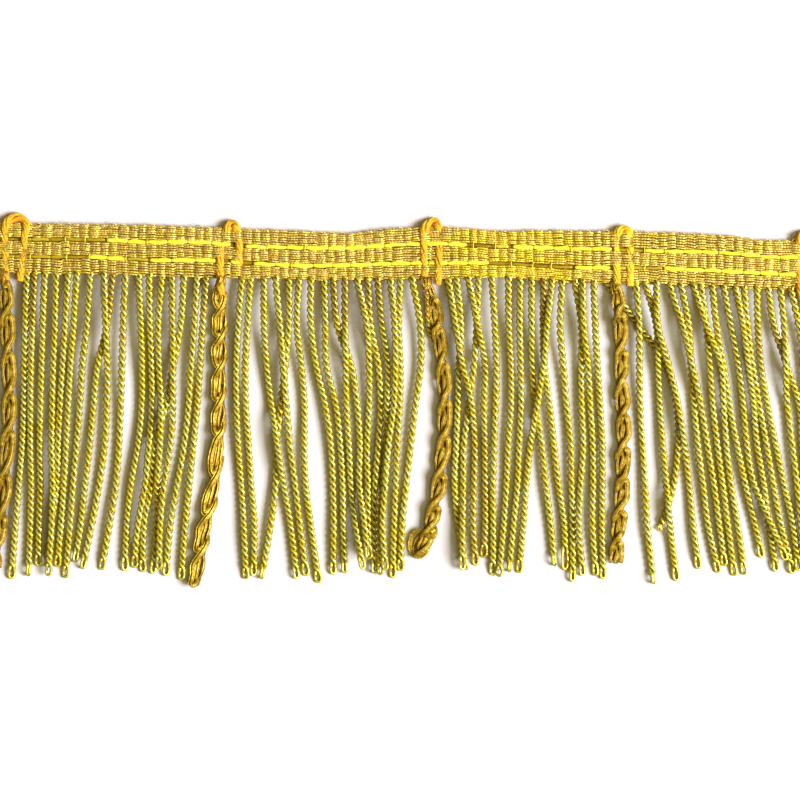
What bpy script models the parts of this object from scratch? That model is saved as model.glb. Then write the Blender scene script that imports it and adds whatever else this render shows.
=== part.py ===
"""A cut length of metallic bullion fringe, lying face up and flat.

The woven heading runs along X, the fringe hangs towards -Y and the face looks up (+Z).
The origin is the middle of the heading's flat back, and everything rests on z = 0.
"""

import math

import bmesh
import bpy

MM = 0.001

# Layout chart: x along the heading and y down the fringe, both in steps of 0.215 mm
CHART_STEP = 0.215 * MM
CHART_MIDDLE_X = 400.0
CHART_MIDDLE_Y = 254.0

# Heading braid: three ribs and two troughs on a flat back
RIB_HEIGHT = 2.3 * MM
SHOULDER_HEIGHT = 2.0 * MM
RIM_HEIGHT = 1.2 * MM
TROUGH_HEIGHT = 1.3 * MM
TROUGH_HALF = 0.75 * MM
SHOULDER_RUN = 0.25 * MM
SHOULDER_SHARE = 0.25
CREST_SHARE = 0.6
PIECE_GAP = 0.3 * MM
HEADING_PITCH = 40.0
HEADING_CLEAR = 14.0

# Flat metal strip woven along each trough
TINSEL_WIDTH = 0.9 * MM
TINSEL_THICKNESS = 0.4 * MM

# Recess that each tie is pulled down into
RECESS_RIB = 1.3 * MM
RECESS_TROUGH = 0.6 * MM
RECESS_MARGIN = 1.15 * MM
RECESS_SLOPE = 0.8 * MM

# Strands and the strip that holds their roots
STRIP_DEPTH = 1.7 * MM
STRIP_HEIGHT = 2.1 * MM
STRIP_CLEAR = 0.3
STRAND_WIDTH = 1.15 * MM
STRAND_HEIGHT = 1.1 * MM
LOOP_WIDTH = 1.4 * MM
LOOP_LENGTH = 2.4 * MM
TIP_CLEAR = 12.0
LIFT_SLOPE = 0.42
PATH_STEP = 5.0
PATH_TOLERANCE = 0.05 * MM

# Chain-stitched gimp tassels
CHAIN_WIDTH = 3.1 * MM
CHAIN_THICKNESS = 2.4 * MM
LINK_PITCH = 35.0
LINK_SECTIONS = 4
LINK_SWAY = 0.37 * MM
KNOT_WIDTH_SHARE = 0.72
KNOT_THICKNESS_SHARE = 0.7
CHAIN_START = 4.0
CHAIN_NECK_SHARE = 0.55
CHAIN_END_SHARE = 0.7
CHAIN_END_RUN = 12.0
CHAIN_HANG = 1.45 * MM
CHAIN_LANDING_RUN = 28.0

# The last loop of a chain that curls up: how far before its end, its reach and its dish
CURL_BEFORE_END = 15.0
CURL_REACH = 16.0
CURL_DISH = 0.84 * MM

# A chain's section: share of its width across and of its thickness up
CHAIN_PROFILE = (
    (-0.3, 0.0),
    (0.3, 0.0),
    (0.5, 0.3),
    (0.42, 0.75),
    (0.16, 1.0),
    (-0.16, 1.0),
    (-0.42, 0.75),
    (-0.5, 0.3),
)

# Yarn ties
TIE_RADIUS = 0.75 * MM
TIE_CENTRE_Z = 2.4 * MM
TIE_BELOW_HEM = 1.5
TIE_ROUNDING = 2
ARCH_POINTS = 8

MATERIAL_COLUMNS = ("name", "colour", "roughness", "metallic")
MATERIALS = (
    ("antique_gold_braid", (0.58, 0.38, 0.13), 0.4, 0.8),
    ("lemon_tinsel", (0.95, 0.86, 0.10), 0.25, 0.9),
    ("yellow_gold_bullion", (0.85, 0.70, 0.12), 0.3, 0.9),
    ("orange_gold_gimp", (0.58, 0.30, 0.04), 0.4, 0.6),
    ("orange_yarn", (0.93, 0.42, 0.02), 0.8, 0.0),
)

# The heading's lines on the chart: its rims and the middle of each tinsel
HEADING_COLUMNS = ("x", "top", "upper", "lower", "bottom")
HEADING_LINES = (
    (-24.0, 223.0, 239.0, 256.0, 273.0),
    (40.0, 223.6, 239.3, 256.6, 273.6),
    (100.0, 224.5, 240.0, 257.4, 274.4),
    (150.0, 225.2, 242.0, 259.8, 276.0),
    (200.0, 227.0, 242.3, 260.3, 277.5),
    (250.0, 229.5, 246.0, 263.0, 278.7),
    (300.0, 230.7, 248.0, 265.5, 279.0),
    (345.0, 233.5, 248.0, 265.3, 280.0),
    (380.0, 229.8, 246.0, 264.0, 279.8),
    (410.0, 227.8, 244.5, 263.3, 279.3),
    (440.0, 227.0, 243.8, 263.0, 279.0),
    (500.0, 231.0, 246.5, 263.4, 277.5),
    (560.0, 231.0, 248.2, 266.8, 281.5),
    (610.0, 231.2, 249.0, 267.8, 283.6),
    (660.0, 232.6, 251.0, 268.2, 284.5),
    (720.0, 235.0, 252.8, 271.0, 288.0),
    (760.0, 240.0, 256.2, 273.0, 288.8),
    (790.0, 240.6, 257.4, 274.6, 290.3),
    (838.0, 242.0, 259.0, 276.0, 291.5),
)

# One row a strand: x at its root and down the fringe, its loop's end, and its turn in the pile
STRAND_LEVELS = (325.0, 365.0, 405.0, 445.0, 485.0, 525.0)
STRAND_COLUMNS = ("root", "x325", "x365", "x405", "x445", "x485", "x525", "tip_x", "tip_y", "turn")
STRANDS = (
    (-16.0, -19.0, -20.0, -21.0, -23.0, -26.0, -29.0, -32.0, 573.0, 0),
    (-7.0, -9.0, -9.0, -10.0, -12.0, -14.0, -18.0, -21.0, 576.0, 0),
    (27.0, 25.2, 24.3, 23.6, 21.8, 18.7, 15.3, 11.0, 580.0, 0),
    (34.5, 32.6, 31.3, 30.5, 30.0, 31.0, 30.0, 28.0, 577.0, 0),
    (45.0, 43.0, 41.5, 40.3, 39.5, 40.0, 38.8, 38.0, 567.0, 0),
    (56.0, 55.0, 53.2, 52.0, 51.5, 53.0, 52.0, 48.5, 577.0, 1),
    (68.0, 65.3, 62.4, 59.7, 57.8, 56.5, 51.5, 46.0, 568.0, 0),
    (77.0, 73.8, 70.5, 68.0, 65.9, 63.8, 60.8, 57.0, 568.0, 0),
    (90.3, 87.0, 82.5, 79.5, 76.3, 72.8, 70.0, 65.0, 579.0, 0),
    (112.5, 107.5, 97.8, 93.3, 89.5, 84.7, 80.5, 74.5, 563.0, 0),
    (104.0, 106.5, 107.5, 106.8, 104.5, 98.8, 91.5, 82.0, 570.0, 1),
    (125.3, 123.4, 122.0, 120.5, 118.6, 115.5, 109.3, 101.0, 571.0, 0),
    (138.7, 141.0, 142.0, 141.5, 137.8, 130.8, 126.5, 124.5, 572.0, 0),
    (149.3, 150.0, 151.3, 151.8, 149.0, 145.3, 138.0, 134.0, 569.0, 1),
    (162.0, 158.4, 159.0, 161.0, 160.3, 157.0, 157.0, 152.5, 575.0, 1),
    (172.0, 172.6, 173.0, 172.8, 170.3, 164.0, 160.5, 159.0, 570.0, 2),
    (184.0, 181.0, 173.5, 166.0, 154.5, 151.0, 144.0, 142.5, 573.0, 0),
    (197.0, 194.3, 191.3, 188.5, 184.0, 177.0, 170.0, 165.5, 577.0, 0),
    (206.0, 202.8, 200.0, 197.0, 193.0, 189.0, 185.0, 181.0, 581.0, 0),
    (242.0, 238.3, 236.2, 236.3, 238.0, 241.0, 243.5, 246.0, 580.0, 0),
    (250.5, 247.5, 245.3, 245.7, 248.3, 251.0, 254.0, 253.5, 577.0, 0),
    (264.0, 264.3, 266.7, 271.3, 277.3, 283.5, 290.3, 297.0, 580.0, 1),
    (275.7, 280.0, 283.3, 286.3, 289.8, 295.0, 299.5, 306.5, 577.0, 1),
    (289.0, 288.8, 285.3, 281.0, 276.5, 275.5, 270.5, 261.0, 580.0, 0),
    (299.0, 297.0, 301.2, 304.2, 304.0, 305.5, 310.5, 319.0, 584.0, 0),
    (311.0, 311.0, 316.0, 325.0, 330.6, 332.8, 333.5, 333.0, 575.5, 0),
    (324.0, 325.3, 326.3, 335.7, 340.0, 342.3, 343.0, 344.6, 574.0, 0),
    (333.0, 337.3, 351.0, 357.0, 359.7, 359.0, 364.5, 367.7, 559.0, 2),
    (345.0, 345.0, 346.0, 346.3, 348.7, 350.7, 355.0, 363.6, 570.0, 3),
    (357.0, 366.7, 369.2, 369.0, 367.0, 367.6, 368.0, 369.0, 560.0, 1),
    (367.5, 370.7, 378.3, 380.5, 378.3, 375.0, 373.7, 374.0, 574.0, 0),
    (377.5, 382.0, 387.7, 386.8, 386.0, 382.6, 379.8, 380.5, 576.0, 0),
    (390.3, 394.8, 395.5, 393.7, 388.5, 385.0, 382.4, 385.6, 571.0, 1),
    (400.3, 398.5, 400.0, 399.5, 397.2, 395.7, 394.0, 392.7, 579.0, 0),
    (412.0, 420.3, 420.6, 415.2, 410.6, 406.0, 402.0, 400.5, 572.0, 0),
    (448.0, 455.5, 462.5, 471.7, 474.6, 473.7, 473.0, 476.0, 566.5, 2),
    (456.3, 461.0, 459.2, 457.6, 455.9, 454.5, 458.3, 466.5, 571.0, 0),
    (468.0, 477.5, 485.0, 483.8, 484.5, 484.8, 485.0, 483.6, 558.6, 2),
    (478.5, 476.8, 474.0, 469.0, 463.7, 463.0, 462.2, 462.5, 571.0, 1),
    (491.6, 494.8, 496.3, 495.5, 494.0, 492.7, 493.0, 493.0, 576.0, 0),
    (508.3, 508.7, 510.7, 510.8, 507.9, 506.3, 503.5, 499.0, 578.0, 1),
    (520.0, 519.6, 520.5, 521.0, 519.0, 517.2, 513.4, 509.0, 573.0, 0),
    (531.3, 531.5, 532.0, 535.5, 541.5, 545.6, 550.5, 554.8, 567.0, 0),
    (543.4, 543.0, 544.3, 549.3, 553.7, 558.3, 564.0, 565.0, 571.0, 0),
    (551.8, 546.8, 543.3, 537.0, 530.3, 526.0, 523.0, 519.0, 574.0, 1),
    (562.0, 560.0, 563.0, 566.3, 570.5, 571.3, 572.5, 572.7, 583.0, 0),
    (574.6, 581.3, 581.0, 581.4, 583.0, 580.5, 578.5, 583.0, 577.0, 0),
    (582.2, 583.2, 587.7, 590.2, 592.6, 592.8, 592.2, 596.0, 577.0, 1),
    (593.5, 595.0, 597.2, 599.8, 602.0, 602.0, 601.8, 603.2, 580.0, 0),
    (606.5, 638.5, 666.0, 677.0, 678.0, 673.5, 661.7, 661.7, 524.0, 0),
    (636.0, 639.0, 639.4, 640.0, 642.3, 644.8, 647.0, 654.0, 585.0, 1),
    (645.0, 656.0, 658.0, 659.7, 662.6, 666.2, 669.6, 677.0, 582.0, 2),
    (656.0, 657.0, 668.0, 677.5, 684.2, 689.0, 693.0, 699.0, 570.0, 3),
    (669.3, 681.6, 691.5, 700.7, 707.3, 713.7, 719.0, 725.0, 567.0, 2),
    (680.6, 688.3, 691.0, 694.0, 697.6, 703.0, 708.0, 719.0, 574.0, 1),
    (693.0, 705.5, 720.3, 723.3, 726.2, 731.0, 737.5, 745.0, 576.0, 2),
    (701.0, 706.0, 709.7, 712.7, 717.2, 722.5, 727.7, 735.0, 577.0, 1),
    (712.0, 716.0, 723.3, 729.5, 736.7, 745.3, 755.0, 762.5, 559.0, 0),
    (723.4, 730.5, 738.0, 743.0, 746.8, 754.0, 771.0, 787.0, 562.0, 2),
    (735.2, 742.0, 747.8, 753.2, 757.0, 763.7, 769.0, 777.0, 573.0, 1),
    (743.7, 747.0, 752.3, 759.3, 766.3, 773.3, 781.0, 794.0, 575.0, 0),
    (756.6, 757.5, 760.7, 767.3, 775.7, 784.0, 792.6, 799.0, 572.0, 0),
    (767.7, 773.4, 786.5, 799.0, 802.0, 805.0, 807.5, 812.0, 575.0, 0),
    (780.0, 783.7, 785.0, 787.3, 792.0, 797.0, 800.5, 805.5, 569.0, 1),
    (790.5, 798.5, 804.0, 806.0, 809.0, 812.5, 815.5, 820.0, 570.0, 0),
    (821.0, 826.0, 831.0, 835.0, 838.0, 841.0, 845.0, 848.0, 573.0, 0),
    (830.0, 835.0, 840.0, 844.0, 847.0, 850.0, 854.0, 857.0, 570.0, 0),
)

# One row a chain: x below the heading and at each level, its end, and where it reaches the floor
CHAIN_LEVELS = (330.0, 380.0, 430.0, 480.0, 520.0)
CHAIN_COLUMNS = ("root", "x330", "x380", "x430", "x480", "x520", "end_x", "end_y", "floor_y", "curl")
CHAINS = (
    (5.0, 6.7, 8.5, 8.0, 4.0, 0.0, -8.0, 570.0, 312.0, 0.0),
    (221.0, 220.8, 219.8, 219.0, 214.5, 206.5, 195.0, 587.0, 312.0, 0.0),
    (429.0, 437.0, 443.5, 443.5, 438.5, 431.0, 419.0, 559.0, 312.0, 6.5),
    (616.0, 619.7, 620.8, 622.5, 621.5, 618.3, 615.0, 565.0, 345.0, 0.0),
    (807.5, 811.5, 818.5, 822.0, 826.0, 829.3, 834.0, 568.0, 312.0, 0.0),
)

# One row a tie: its two legs, the top and swell of its arch, and where its free leg ends
TIE_COLUMNS = ("left", "right", "arch_top", "swell", "free_end")
TIES = (
    (5.0, 20.0, 215.5, 4.0, 284.0),
    (221.0, 238.5, 222.5, 0.5, 276.0),
    (423.5, 438.7, 220.5, 1.0, 286.5),
    (616.0, 630.0, 227.0, 2.0, 287.5),
    (799.0, 813.0, 233.5, 1.0, 295.5),
)


def rows(columns, table):
    """The rows of a table as dictionaries with the column names as keys."""
    return [dict(zip(columns, row)) for row in table]


def to_x(chart_x):
    return (chart_x - CHART_MIDDLE_X) * CHART_STEP


def to_y(chart_y):
    return (CHART_MIDDLE_Y - chart_y) * CHART_STEP


def smooth_through(knots, at):
    """Value at `at` of a smooth curve through (position, value) knots."""
    last = len(knots) - 2
    span = 0
    while span < last and at > knots[span + 1][0]:
        span += 1
    x1, y1 = knots[span]
    x2, y2 = knots[span + 1]
    x0, y0 = knots[span - 1] if span > 0 else (2.0 * x1 - x2, 2.0 * y1 - y2)
    x3, y3 = knots[span + 2] if span < last else (2.0 * x2 - x1, 2.0 * y2 - y1)
    width = x2 - x1
    slope1 = (y2 - y0) / (x2 - x0) * width
    slope2 = (y3 - y1) / (x3 - x1) * width
    t = min(max((at - x1) / width, 0.0), 1.0)
    t2 = t * t
    t3 = t2 * t
    start = (2.0 * t3 - 3.0 * t2 + 1.0) * y1 + (t3 - 2.0 * t2 + t) * slope1
    end = (3.0 * t2 - 2.0 * t3) * y2 + (t3 - t2) * slope2
    return start + end


def heading_line(name, chart_x):
    """Chart y of one of the heading's lines at a chart x."""
    knots = [(row["x"], row[name]) for row in rows(HEADING_COLUMNS, HEADING_LINES)]
    return smooth_through(knots, chart_x)


def clear_scene():
    for thing in list(bpy.data.objects):
        bpy.data.objects.remove(thing)


def make_materials():
    """Every material by its name."""
    made = {}
    for row in rows(MATERIAL_COLUMNS, MATERIALS):
        material = bpy.data.materials.new(row["name"])
        material.use_nodes = True
        shader = material.node_tree.nodes["Principled BSDF"]
        shader.inputs["Base Color"].default_value = (*row["colour"], 1.0)
        shader.inputs["Roughness"].default_value = row["roughness"]
        shader.inputs["Metallic"].default_value = row["metallic"]
        made[row["name"]] = material
    return made


def finish_mesh(name, mesh_builder, material, collection):
    """One named object from a bmesh, with outward faces."""
    bmesh.ops.recalc_face_normals(mesh_builder, faces=mesh_builder.faces)
    mesh = bpy.data.meshes.new(name)
    mesh_builder.to_mesh(mesh)
    mesh_builder.free()
    mesh.materials.append(material)
    thing = bpy.data.objects.new(name, mesh)
    collection.objects.link(thing)
    return thing


def loft(mesh_builder, sections):
    """Skin rings of equal length one to the next, and close both ends."""
    rings = [[mesh_builder.verts.new(point) for point in section] for section in sections]
    count = len(rings[0])
    for ring, following in zip(rings, rings[1:]):
        for i in range(count):
            j = (i + 1) % count
            mesh_builder.faces.new((ring[i], ring[j], following[j], following[i]))
    mesh_builder.faces.new(rings[0])
    mesh_builder.faces.new(rings[-1])


def recess_share(chart_x):
    """0 on the plain heading and 1 at the bottom of a tie's recess."""
    share = 0.0
    for tie in rows(TIE_COLUMNS, TIES):
        outside = max(tie["left"] - chart_x, chart_x - tie["right"]) * CHART_STEP
        share = max(share, 1.0 - max(outside - RECESS_MARGIN, 0.0) / RECESS_SLOPE)
    return min(max(share, 0.0), 1.0)


def sunk(height, chart_x, bottom):
    """A height on the heading's face, pulled down to `bottom` under a tie."""
    share = recess_share(chart_x)
    return height + (min(bottom, height) - height) * share


def recess_corners():
    """Chart x of the top and foot of each recess's two walls."""
    margin = RECESS_MARGIN / CHART_STEP
    slope = RECESS_SLOPE / CHART_STEP
    corners = []
    for tie in rows(TIE_COLUMNS, TIES):
        corners += [tie["left"] - margin - slope, tie["left"] - margin]
        corners += [tie["right"] + margin, tie["right"] + margin + slope]
    return corners


def heading_stations():
    """Chart x of the sections along the heading, the recesses' corners among them."""
    start = HEADING_LINES[0][0]
    end = HEADING_LINES[-1][0]
    corners = recess_corners()
    count = round((end - start) / HEADING_PITCH)
    even = [start + (end - start) * i / count for i in range(count + 1)]
    spaced = [x for x in even[1:-1] if all(abs(x - c) > HEADING_CLEAR for c in corners)]
    return sorted([start, end] + spaced + corners)


def heading_section(chart_x):
    """The heading's outline across its depth, from its back up over the ribs."""
    x = to_x(chart_x)
    rim = to_y(heading_line("top", chart_x))
    upper = to_y(heading_line("upper", chart_x))
    lower = to_y(heading_line("lower", chart_x))
    hem = to_y(heading_line("bottom", chart_x)) + STRIP_DEPTH + PIECE_GAP
    rib = upper + TROUGH_HALF
    first = rim - rib
    profile = (
        (rim, RIM_HEIGHT, RECESS_RIB),
        (rim - SHOULDER_SHARE * first, SHOULDER_HEIGHT, RECESS_RIB),
        (rim - CREST_SHARE * first, RIB_HEIGHT, RECESS_RIB),
        (rib + SHOULDER_RUN, SHOULDER_HEIGHT, RECESS_RIB),
        (rib, TROUGH_HEIGHT, RECESS_TROUGH),
        (upper - TROUGH_HALF, TROUGH_HEIGHT, RECESS_TROUGH),
        (upper - TROUGH_HALF - SHOULDER_RUN, SHOULDER_HEIGHT, RECESS_RIB),
        (0.5 * (upper + lower), RIB_HEIGHT, RECESS_RIB),
        (lower + TROUGH_HALF + SHOULDER_RUN, SHOULDER_HEIGHT, RECESS_RIB),
        (lower + TROUGH_HALF, TROUGH_HEIGHT, RECESS_TROUGH),
        (lower - TROUGH_HALF, TROUGH_HEIGHT, RECESS_TROUGH),
        (lower - TROUGH_HALF - SHOULDER_RUN, SHOULDER_HEIGHT, RECESS_RIB),
        (hem, STRIP_HEIGHT, RECESS_RIB),
    )
    face = [(x, y, sunk(height, chart_x, bottom)) for y, height, bottom in profile]
    return [(x, rim, 0.0)] + face + [(x, hem, 0.0)]


def make_heading(material, collection):
    builder = bmesh.new()
    loft(builder, [heading_section(x) for x in heading_stations()])
    return finish_mesh("heading", builder, material, collection)


def tinsel_section(line, chart_x):
    x = to_x(chart_x)
    y = to_y(heading_line(line, chart_x))
    z = sunk(TROUGH_HEIGHT, chart_x, RECESS_TROUGH) + PIECE_GAP
    half = 0.5 * TINSEL_WIDTH
    top = z + TINSEL_THICKNESS
    return [(x, y + half, z), (x, y - half, z), (x, y - half, top), (x, y + half, top)]


def make_tinsel(line, material, collection):
    builder = bmesh.new()
    loft(builder, [tinsel_section(line, x) for x in heading_stations()])
    return finish_mesh("tinsel_" + line, builder, material, collection)


def strand_knots(strand):
    """(chart y, chart x) knots of a strand from its root to the end of its loop."""
    root_y = heading_line("bottom", strand["root"])
    last = strand["tip_y"] - TIP_CLEAR
    levels = [(y, strand["x%d" % y]) for y in STRAND_LEVELS if y < last]
    return [(root_y, strand["root"])] + levels + [(strand["tip_y"], strand["tip_x"])]


def strand_line(strand):
    """Evenly spaced (chart x, chart y, half width across) down a strand."""
    knots = strand_knots(strand)
    start = knots[0][0]
    end = knots[-1][0]
    count = round((end - start) / PATH_STEP)
    line = []
    for i in range(count + 1):
        y = start + (end - start) * i / count
        ahead = smooth_through(knots, min(y + 1.0, end))
        behind = smooth_through(knots, max(y - 1.0, start))
        lean = (ahead - behind) / (min(y + 1.0, end) - max(y - 1.0, start))
        to_end = (end - y) * CHART_STEP
        width = LOOP_WIDTH if to_end < LOOP_LENGTH else STRAND_WIDTH
        line.append((smooth_through(knots, y), y, 0.5 * width * math.hypot(1.0, lean)))
    return line


def value_at(line, y, column):
    """A column of a laid strand at chart y, straight between its points."""
    for first, second in zip(line, line[1:]):
        if first[1] <= y <= second[1]:
            share = (y - first[1]) / (second[1] - first[1])
            return first[column] + (second[column] - first[column]) * share
    return None


def needed_height(x, y, half, laid):
    """Lowest z at which a strand clears everything already laid beneath it."""
    height = 0.0
    for below in laid:
        if not below[0][1] <= y <= below[-1][1]:
            continue
        apart = abs(x - value_at(below, y, 0)) * CHART_STEP
        if apart < half + value_at(below, y, 2) + PIECE_GAP:
            height = max(height, value_at(below, y, 3) + STRAND_HEIGHT + PIECE_GAP)
    return height


def lay_strand(line, laid):
    """Add z to each point: over what lies beneath, with gentle ramps to the floor."""
    needs = [needed_height(x, y, half, laid) for x, y, half in line]
    spread = [max(needs[max(i - 1, 0):i + 2]) for i in range(len(needs))]
    laid_line = []
    for x, y, half in line:
        ramps = [
            need - LIFT_SLOPE * abs(y - other[1]) * CHART_STEP
            for need, other in zip(spread, line)
        ]
        laid_line.append((x, y, half, max(max(ramps), 0.0)))
    first = laid_line[0]
    laid_line[0] = (first[0], first[1], first[2], 0.0)
    return laid_line


def thinned(line):
    """The same line with the points left out that lie on the way between others."""
    kept = [line[0]]
    start = 0
    while start < len(line) - 1:
        reach = start + 1
        for end in range(start + 2, len(line)):
            if not spans(line, start, end):
                break
            reach = end
        kept.append(line[reach])
        start = reach
    return kept


def spans(line, start, end):
    """True where one straight piece stands in for the points between two others."""
    for between in line[start + 1:end]:
        share = (between[1] - line[start][1]) / (line[end][1] - line[start][1])
        for column, scale in ((0, CHART_STEP), (2, 1.0), (3, 1.0)):
            straight = line[start][column] + (line[end][column] - line[start][column]) * share
            if abs(straight - between[column]) * scale > PATH_TOLERANCE:
                return False
    return True


def lay_all_strands():
    """Every strand with its heights, in the order of the table."""
    strands = rows(STRAND_COLUMNS, STRANDS)
    order = sorted(range(len(strands)), key=lambda i: (strands[i]["turn"], i))
    laid = {}
    for i in order:
        laid[i] = lay_strand(strand_line(strands[i]), list(laid.values()))
    return [thinned(laid[i]) for i in range(len(strands))]


def strand_ring(x, y, half, z):
    """Corners of a strand's section: its flat underside, then its top."""
    middle = to_x(x)
    top = z + STRAND_HEIGHT
    return [
        (middle - half, to_y(y), z),
        (middle + half, to_y(y), z),
        (middle + half, to_y(y), top),
        (middle - half, to_y(y), top),
    ]


def grow_strand(builder, root, line):
    """Run a strand on from the four corners of its root."""
    ring = root
    for point in line[1:]:
        following = [builder.verts.new(corner) for corner in strand_ring(*point)]
        for i in range(4):
            j = (i + 1) % 4
            builder.faces.new((ring[i], ring[j], following[j], following[i]))
        ring = following
    builder.faces.new(ring)


def strip_columns(lines):
    """Chart x of the strip's columns, and the columns at which strands root."""
    half = 0.5 * STRAND_WIDTH / CHART_STEP
    clear = half + STRIP_CLEAR
    middles = [line[0][0] for line in lines]
    columns = [HEADING_LINES[0][0], HEADING_LINES[-1][0]]
    columns += [x for x in recess_corners() if min(abs(x - root) for root in middles) > clear]
    columns += [root - half for root in middles] + [root + half for root in middles]
    columns.sort()
    roots = {columns.index(root - half): index for index, root in enumerate(middles)}
    return columns, roots


def make_skirt(material, collection):
    """The strip along the heading's lower edge, with every strand grown from it."""
    builder = bmesh.new()
    lines = lay_all_strands()
    columns, roots = strip_columns(lines)
    stack = []
    for chart_x in columns:
        x = to_x(chart_x)
        front = to_y(heading_line("bottom", chart_x))
        back = front + STRIP_DEPTH
        top = sunk(STRIP_HEIGHT, chart_x, RECESS_RIB)
        corners = (
            (x, front, 0.0),
            (x, front, STRAND_HEIGHT),
            (x, front, top),
            (x, back, top),
            (x, back, 0.0),
        )
        stack.append([builder.verts.new(corner) for corner in corners])
    for i, (column, following) in enumerate(zip(stack, stack[1:])):
        for low in range(5):
            high = (low + 1) % 5
            if low == 0 and i in roots:
                root = [column[0], following[0], following[1], column[1]]
                grow_strand(builder, root, lines[roots[i]])
            else:
                builder.faces.new((column[low], following[low], following[high], column[high]))
    builder.faces.new(stack[0])
    builder.faces.new(stack[-1])
    return finish_mesh("fringe_skirt", builder, material, collection)


def chain_section(chain, knots, y):
    """One section of a chain: full across a link's middle, drawn in at its knots."""
    start = knots[0][0]
    end = knots[-1][0]
    turn = math.pi * (y - start) / LINK_PITCH
    swell = abs(math.sin(turn))
    width = CHAIN_WIDTH * (KNOT_WIDTH_SHARE + (1.0 - KNOT_WIDTH_SHARE) * swell)
    thickness = CHAIN_THICKNESS * (KNOT_THICKNESS_SHARE + (1.0 - KNOT_THICKNESS_SHARE) * swell)
    curl = chain["curl"] * CHART_STEP
    nearness = max(0.0, 1.0 - abs(end - CURL_BEFORE_END - y) / CURL_REACH)
    width += curl * math.sqrt(nearness)
    neck = CHAIN_NECK_SHARE + (y - start) / LINK_PITCH
    foot = CHAIN_END_SHARE + (1.0 - CHAIN_END_SHARE) * (end - y) / CHAIN_END_RUN
    taper = min(1.0, neck, foot)
    fall = min(max((chain["floor_y"] - y) / CHAIN_LANDING_RUN, 0.0), 1.0)
    z = CHAIN_HANG * fall
    middle = to_x(smooth_through(knots, y)) + LINK_SWAY * math.sin(turn) * taper
    ring = []
    for across, up in CHAIN_PROFILE:
        dish = CURL_DISH * nearness if curl and up == 1.0 else 0.0
        ring.append((middle + across * width * taper, to_y(y), z + up * thickness * taper - dish))
    return ring


def make_chain(number, chain, material, collection):
    root_y = heading_line("bottom", chain["root"]) + CHAIN_START
    levels = [(y, chain["x%d" % y]) for y in CHAIN_LEVELS]
    knots = [(root_y, chain["root"])] + levels + [(chain["end_y"], chain["end_x"])]
    count = round((chain["end_y"] - root_y) / LINK_PITCH * LINK_SECTIONS)
    stops = [root_y + (chain["end_y"] - root_y) * i / count for i in range(count + 1)]
    builder = bmesh.new()
    loft(builder, [chain_section(chain, knots, y) for y in stops])
    return finish_mesh("chain_%d" % number, builder, material, collection)


def tie_points(tie):
    """Chart points of a tie: up its left leg, round its arch and down its free leg."""
    middle = 0.5 * (tie["left"] + tie["right"])
    reach = 0.5 * (tie["right"] - tie["left"])
    hem = heading_line("bottom", tie["left"])
    springing = tie["arch_top"] + reach + tie["swell"]
    points = [(tie["left"], hem + TIE_BELOW_HEM), (tie["left"], 0.5 * (hem + springing))]
    for i in range(ARCH_POINTS + 1):
        angle = math.pi * (1.0 - i / ARCH_POINTS)
        swell = tie["swell"] * math.sin(angle)
        x = middle + (reach + swell) * math.cos(angle)
        points.append((x, springing - (reach + swell) * math.sin(angle)))
    points.append((tie["right"], 0.5 * (tie["free_end"] + springing)))
    points.append((tie["right"], tie["free_end"]))
    return points


def make_tie(number, tie, material, collection):
    curve = bpy.data.curves.new("tie_%d" % number, "CURVE")
    curve.dimensions = "3D"
    curve.bevel_depth = TIE_RADIUS
    curve.bevel_resolution = TIE_ROUNDING
    curve.use_fill_caps = True
    points = tie_points(tie)
    spline = curve.splines.new("POLY")
    spline.points.add(len(points) - 1)
    for point, (x, y) in zip(spline.points, points):
        point.co = (to_x(x), to_y(y), TIE_CENTRE_Z, 1.0)
    curve.materials.append(material)
    thing = bpy.data.objects.new("tie_%d" % number, curve)
    collection.objects.link(thing)
    return thing


def main():
    clear_scene()
    collection = bpy.data.collections.new("bullion_fringe")
    bpy.context.scene.collection.children.link(collection)
    materials = make_materials()
    make_heading(materials["antique_gold_braid"], collection)
    make_tinsel("upper", materials["lemon_tinsel"], collection)
    make_tinsel("lower", materials["lemon_tinsel"], collection)
    make_skirt(materials["yellow_gold_bullion"], collection)
    for number, chain in enumerate(rows(CHAIN_COLUMNS, CHAINS), start=1):
        make_chain(number, chain, materials["orange_gold_gimp"], collection)
    for number, tie in enumerate(rows(TIE_COLUMNS, TIES), start=1):
        make_tie(number, tie, materials["orange_yarn"], collection)


main()
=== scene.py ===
"""A cut length of metallic bullion fringe, lying flat and dressed over its CAD frame.

Every thread that shows is modelled: the undulating warps of the woven heading, its tinsel
floats, the two plies of each strand with their open end loops, the knotted gimp chains and
the yarn ties. The charts give places in steps of 0.215 mm, x along the heading and y down
the fringe.
"""

import math

import bpy
import numpy as np
from bpy.props import FloatProperty, FloatVectorProperty, IntProperty, PointerProperty
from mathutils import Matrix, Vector


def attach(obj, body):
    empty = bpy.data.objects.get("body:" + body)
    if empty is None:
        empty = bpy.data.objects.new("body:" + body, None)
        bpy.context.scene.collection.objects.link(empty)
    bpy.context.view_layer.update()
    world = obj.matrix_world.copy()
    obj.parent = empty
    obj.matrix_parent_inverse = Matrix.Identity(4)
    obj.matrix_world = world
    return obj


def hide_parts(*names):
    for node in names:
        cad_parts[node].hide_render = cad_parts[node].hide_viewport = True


bl_info = {
    "name": "Bullion fringe",
    "version": (1, 0, 0),
    "blender": (4, 5, 0),
    "location": "3D View > Sidebar > Fringe",
    "description": "Makes the threads of a woven-headed bullion fringe over its CAD frame",
    "category": "Object",
}

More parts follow.
